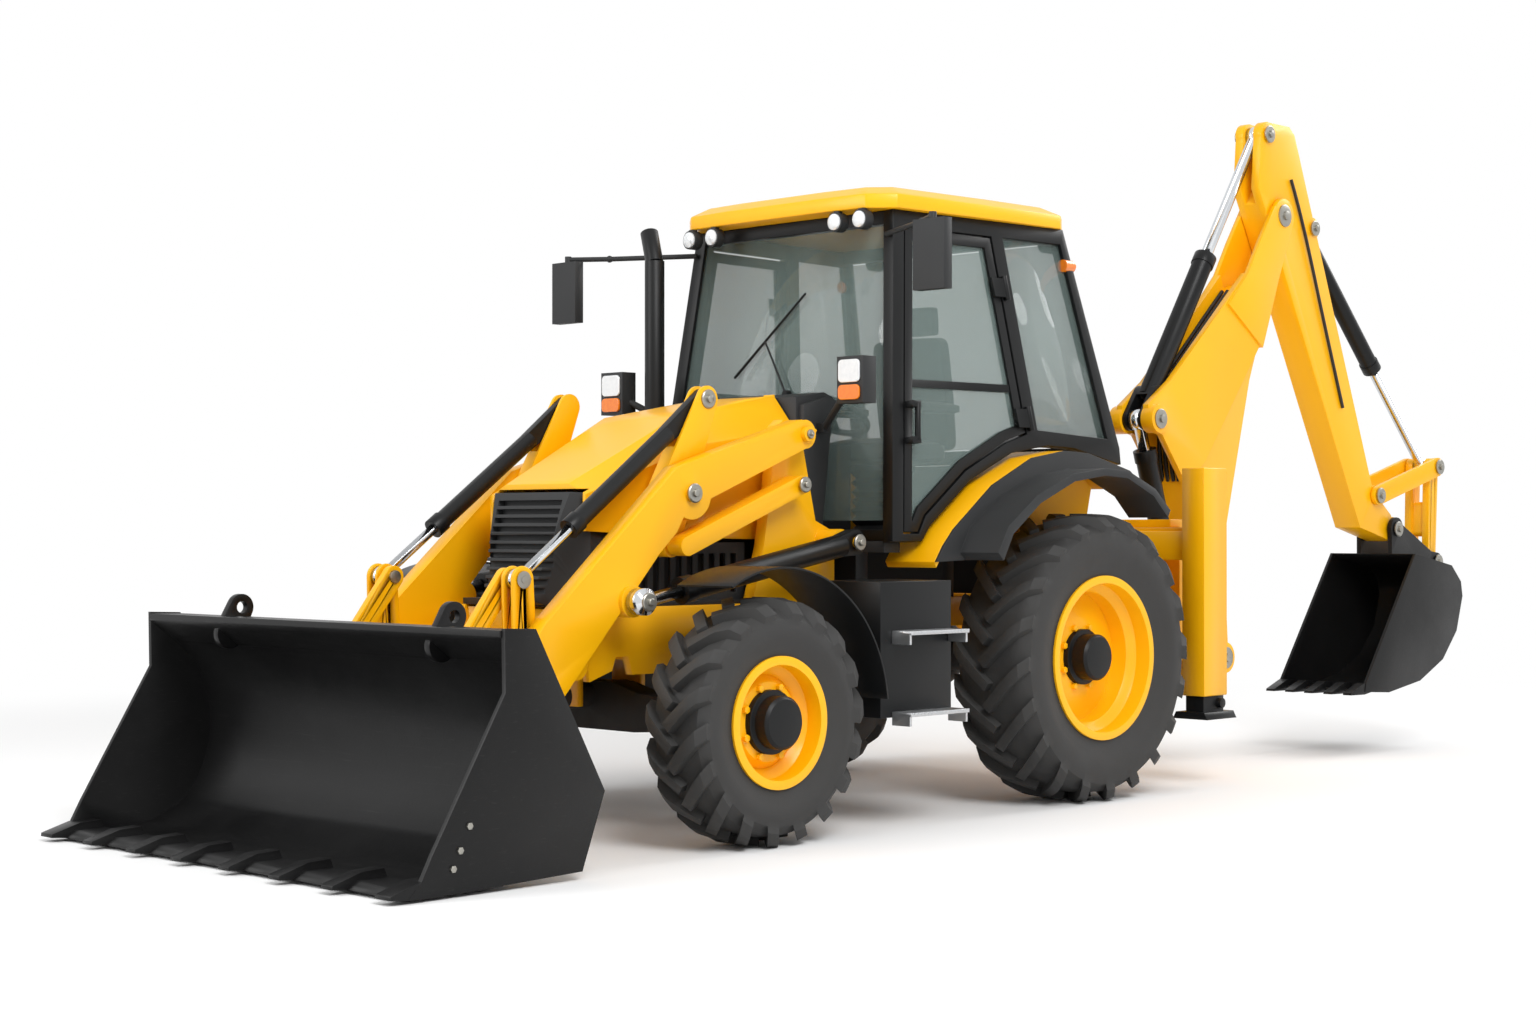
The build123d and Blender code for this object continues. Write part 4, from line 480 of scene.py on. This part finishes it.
for i, shift in enumerate((-52, -18, 18, 52)):
    boom_y = digger_y + shift
    dipper_y = digger_y + shift * 0.8
    pipe(f"boom_pipe_{i}", [
        (-1340 + i * 4, boom_y, 1500), (-1306, boom_y, 1560), (-1300, boom_y, 1900), (-1318, boom_y, 2016),
        (-1500, boom_y, 2180), (-1780, boom_y, 2434), (-1880, boom_y, 2520)], 11, "boom")
    pipe(f"dipper_pipe_{i}", [
        (-2400, dipper_y, 3330), (-2470, dipper_y, 3240), (-2560, dipper_y, 3040), (-2600, dipper_y, 2960)],
        10, "dipper")
for side in (-1, 1):
    pipe(f"dipper_side_pipe_{side + 1}", [
        (-2330, digger_y + side * 92, 3150), (-2420, digger_y + side * 96, 2980),
        (-2700, digger_y + side * 92, 2300), (-2860, digger_y + side * 90, 1930)], 9, "dipper")
for side in (-1, 1):
    for i in (0, 1):
        pipe(f"leg_pipe_{side + 1}_{i}", [
            (-1030 - i * 26, side * 1010, z) for z in (1500, 1200, 900)], 8, "chassis")

# Cutting edge: the loader bucket carries bolted steel side cutters and a wear strip under its lip; three
# bolts on each side cutter are built here.
# The cutters and strip are rolled hard steel, bare and rubbed where they meet the ground.
def cutter_bolts(bm):
    for side in (-1, 1):
        for x, z in ((3.83, 0.1), (3.8, 0.16), (3.76, 0.24)):
            bolt = [(0, 0.013), (0.008, 0.013), (0.01, 0.009)]
            add_turned(bm, (x - origin_shift, side * 1.175, z), (0, side, 0), bolt, 6)


mesh_piece("cutter_bolts", cutter_bolts, zinc_plate, "loader_bucket")

# The floor and backdrop: a pale studio sweep that fades to white, with soft light from above and in front.
# The camera stands where the photographer's did.
floor_mesh = bpy.data.meshes.new("studio_floor")
reach = 60
floor_corners = [(-reach, -reach, 0), (reach, -reach, 0), (reach, reach, 0), (-reach, reach, 0)]
floor_mesh.from_pydata(floor_corners, [], [(0, 1, 2, 3)])
floor = bpy.data.objects.new("studio_floor", floor_mesh)
bpy.context.scene.collection.objects.link(floor)
studio_paper, tree, shader, place = new_material("studio_paper", Roughness=0.9)
shader.inputs["Specular IOR Level"].default_value = 0.1
fog = add_node(tree, "ShaderNodeTexNoise", Vector=place, Scale=0.2)
paper = add_node(
    tree, "ShaderNodeMix", {"data_type": "RGBA"},
    _0=fog.outputs["Fac"], _6=linear("#f6f6f6"), _7=linear("#f9f9f9"))
tree.links.new(paper.outputs[2], shader.inputs["Base Color"])
far = add_node(tree, "ShaderNodeVectorMath", {"operation": "LENGTH"}, _0=place)
fade = add_node(
    tree, "ShaderNodeMapRange", {"interpolation_type": "SMOOTHSTEP"},
    Value=far.outputs["Value"], From_Min=4.5, From_Max=9.0)


def seen_rays(tree):
    """1 for rays from the camera, in reflections and through glass, and 0 for rays that light the scene."""
    rays = add_node(tree, "ShaderNodeLightPath")
    seen = rays.outputs["Is Camera Ray"]
    for kind in ("Is Glossy Ray", "Is Transmission Ray"):
        larger = add_node(
            tree, "ShaderNodeMath", {"operation": "MAXIMUM"}, _0=seen, _1=rays.outputs[kind])
        seen = larger.outputs[0]
    return seen


share = add_node(
    tree, "ShaderNodeMath", {"operation": "MULTIPLY"}, _0=seen_rays(tree), _1=fade.outputs["Result"])
glow = add_node(tree, "ShaderNodeEmission", Color=(1, 1, 1, 1), Strength=1.0)
mixed = add_node(tree, "ShaderNodeMixShader", _0=share.outputs[0], _1=shader.outputs[0], _2=glow.outputs[0])
tree.links.new(mixed.outputs[0], tree.nodes["Material Output"].inputs["Surface"])
floor_mesh.materials.append(studio_paper)

world = bpy.data.worlds.new("studio")
world.use_nodes = True
bpy.context.scene.world = world
sky = world.node_tree
background = sky.nodes["Background"]
background.inputs["Color"].default_value = (1, 1, 1, 1)
background.inputs["Strength"].default_value = 0.62
white = add_node(sky, "ShaderNodeBackground", Color=(1, 1, 1, 1), Strength=1.0)
chosen = add_node(
    sky, "ShaderNodeMixShader", _0=seen_rays(sky), _1=background.outputs[0], _2=white.outputs[0])
sky.links.new(chosen.outputs[0], sky.nodes["World Output"].inputs["Surface"])


def soft_light(name, place, target, size, power):
    light = bpy.data.lights.new(name, "AREA")
    light.shape = "DISK"
    light.size = size
    light.energy = power
    lamp = bpy.data.objects.new(name, light)
    lamp.location = place
    lamp.rotation_euler = (Vector(target) - Vector(place)).to_track_quat("-Z", "Y").to_euler()
    bpy.context.scene.collection.objects.link(lamp)


soft_light("key_light", (5, 9, 9), (0, 0, 1.2), 6, 900)
soft_light("fill_light", (10, -3, 5), (0, 0, 1.2), 6, 350)
soft_light("back_light", (-9, 2, 8), (0, 0, 1.5), 6, 450)

camera_data = bpy.data.cameras.new("camera")
camera_data.lens = 55.09
camera_data.sensor_width = 36
camera = bpy.data.objects.new("camera", camera_data)
camera.location = (8.695, 7.55, 1.26)
camera.rotation_euler = (math.radians(90.376), 0, math.radians(-225.322))
bpy.context.scene.collection.objects.link(camera)
bpy.context.scene.camera = camera
bpy.context.scene.view_settings.view_transform = "Standard"
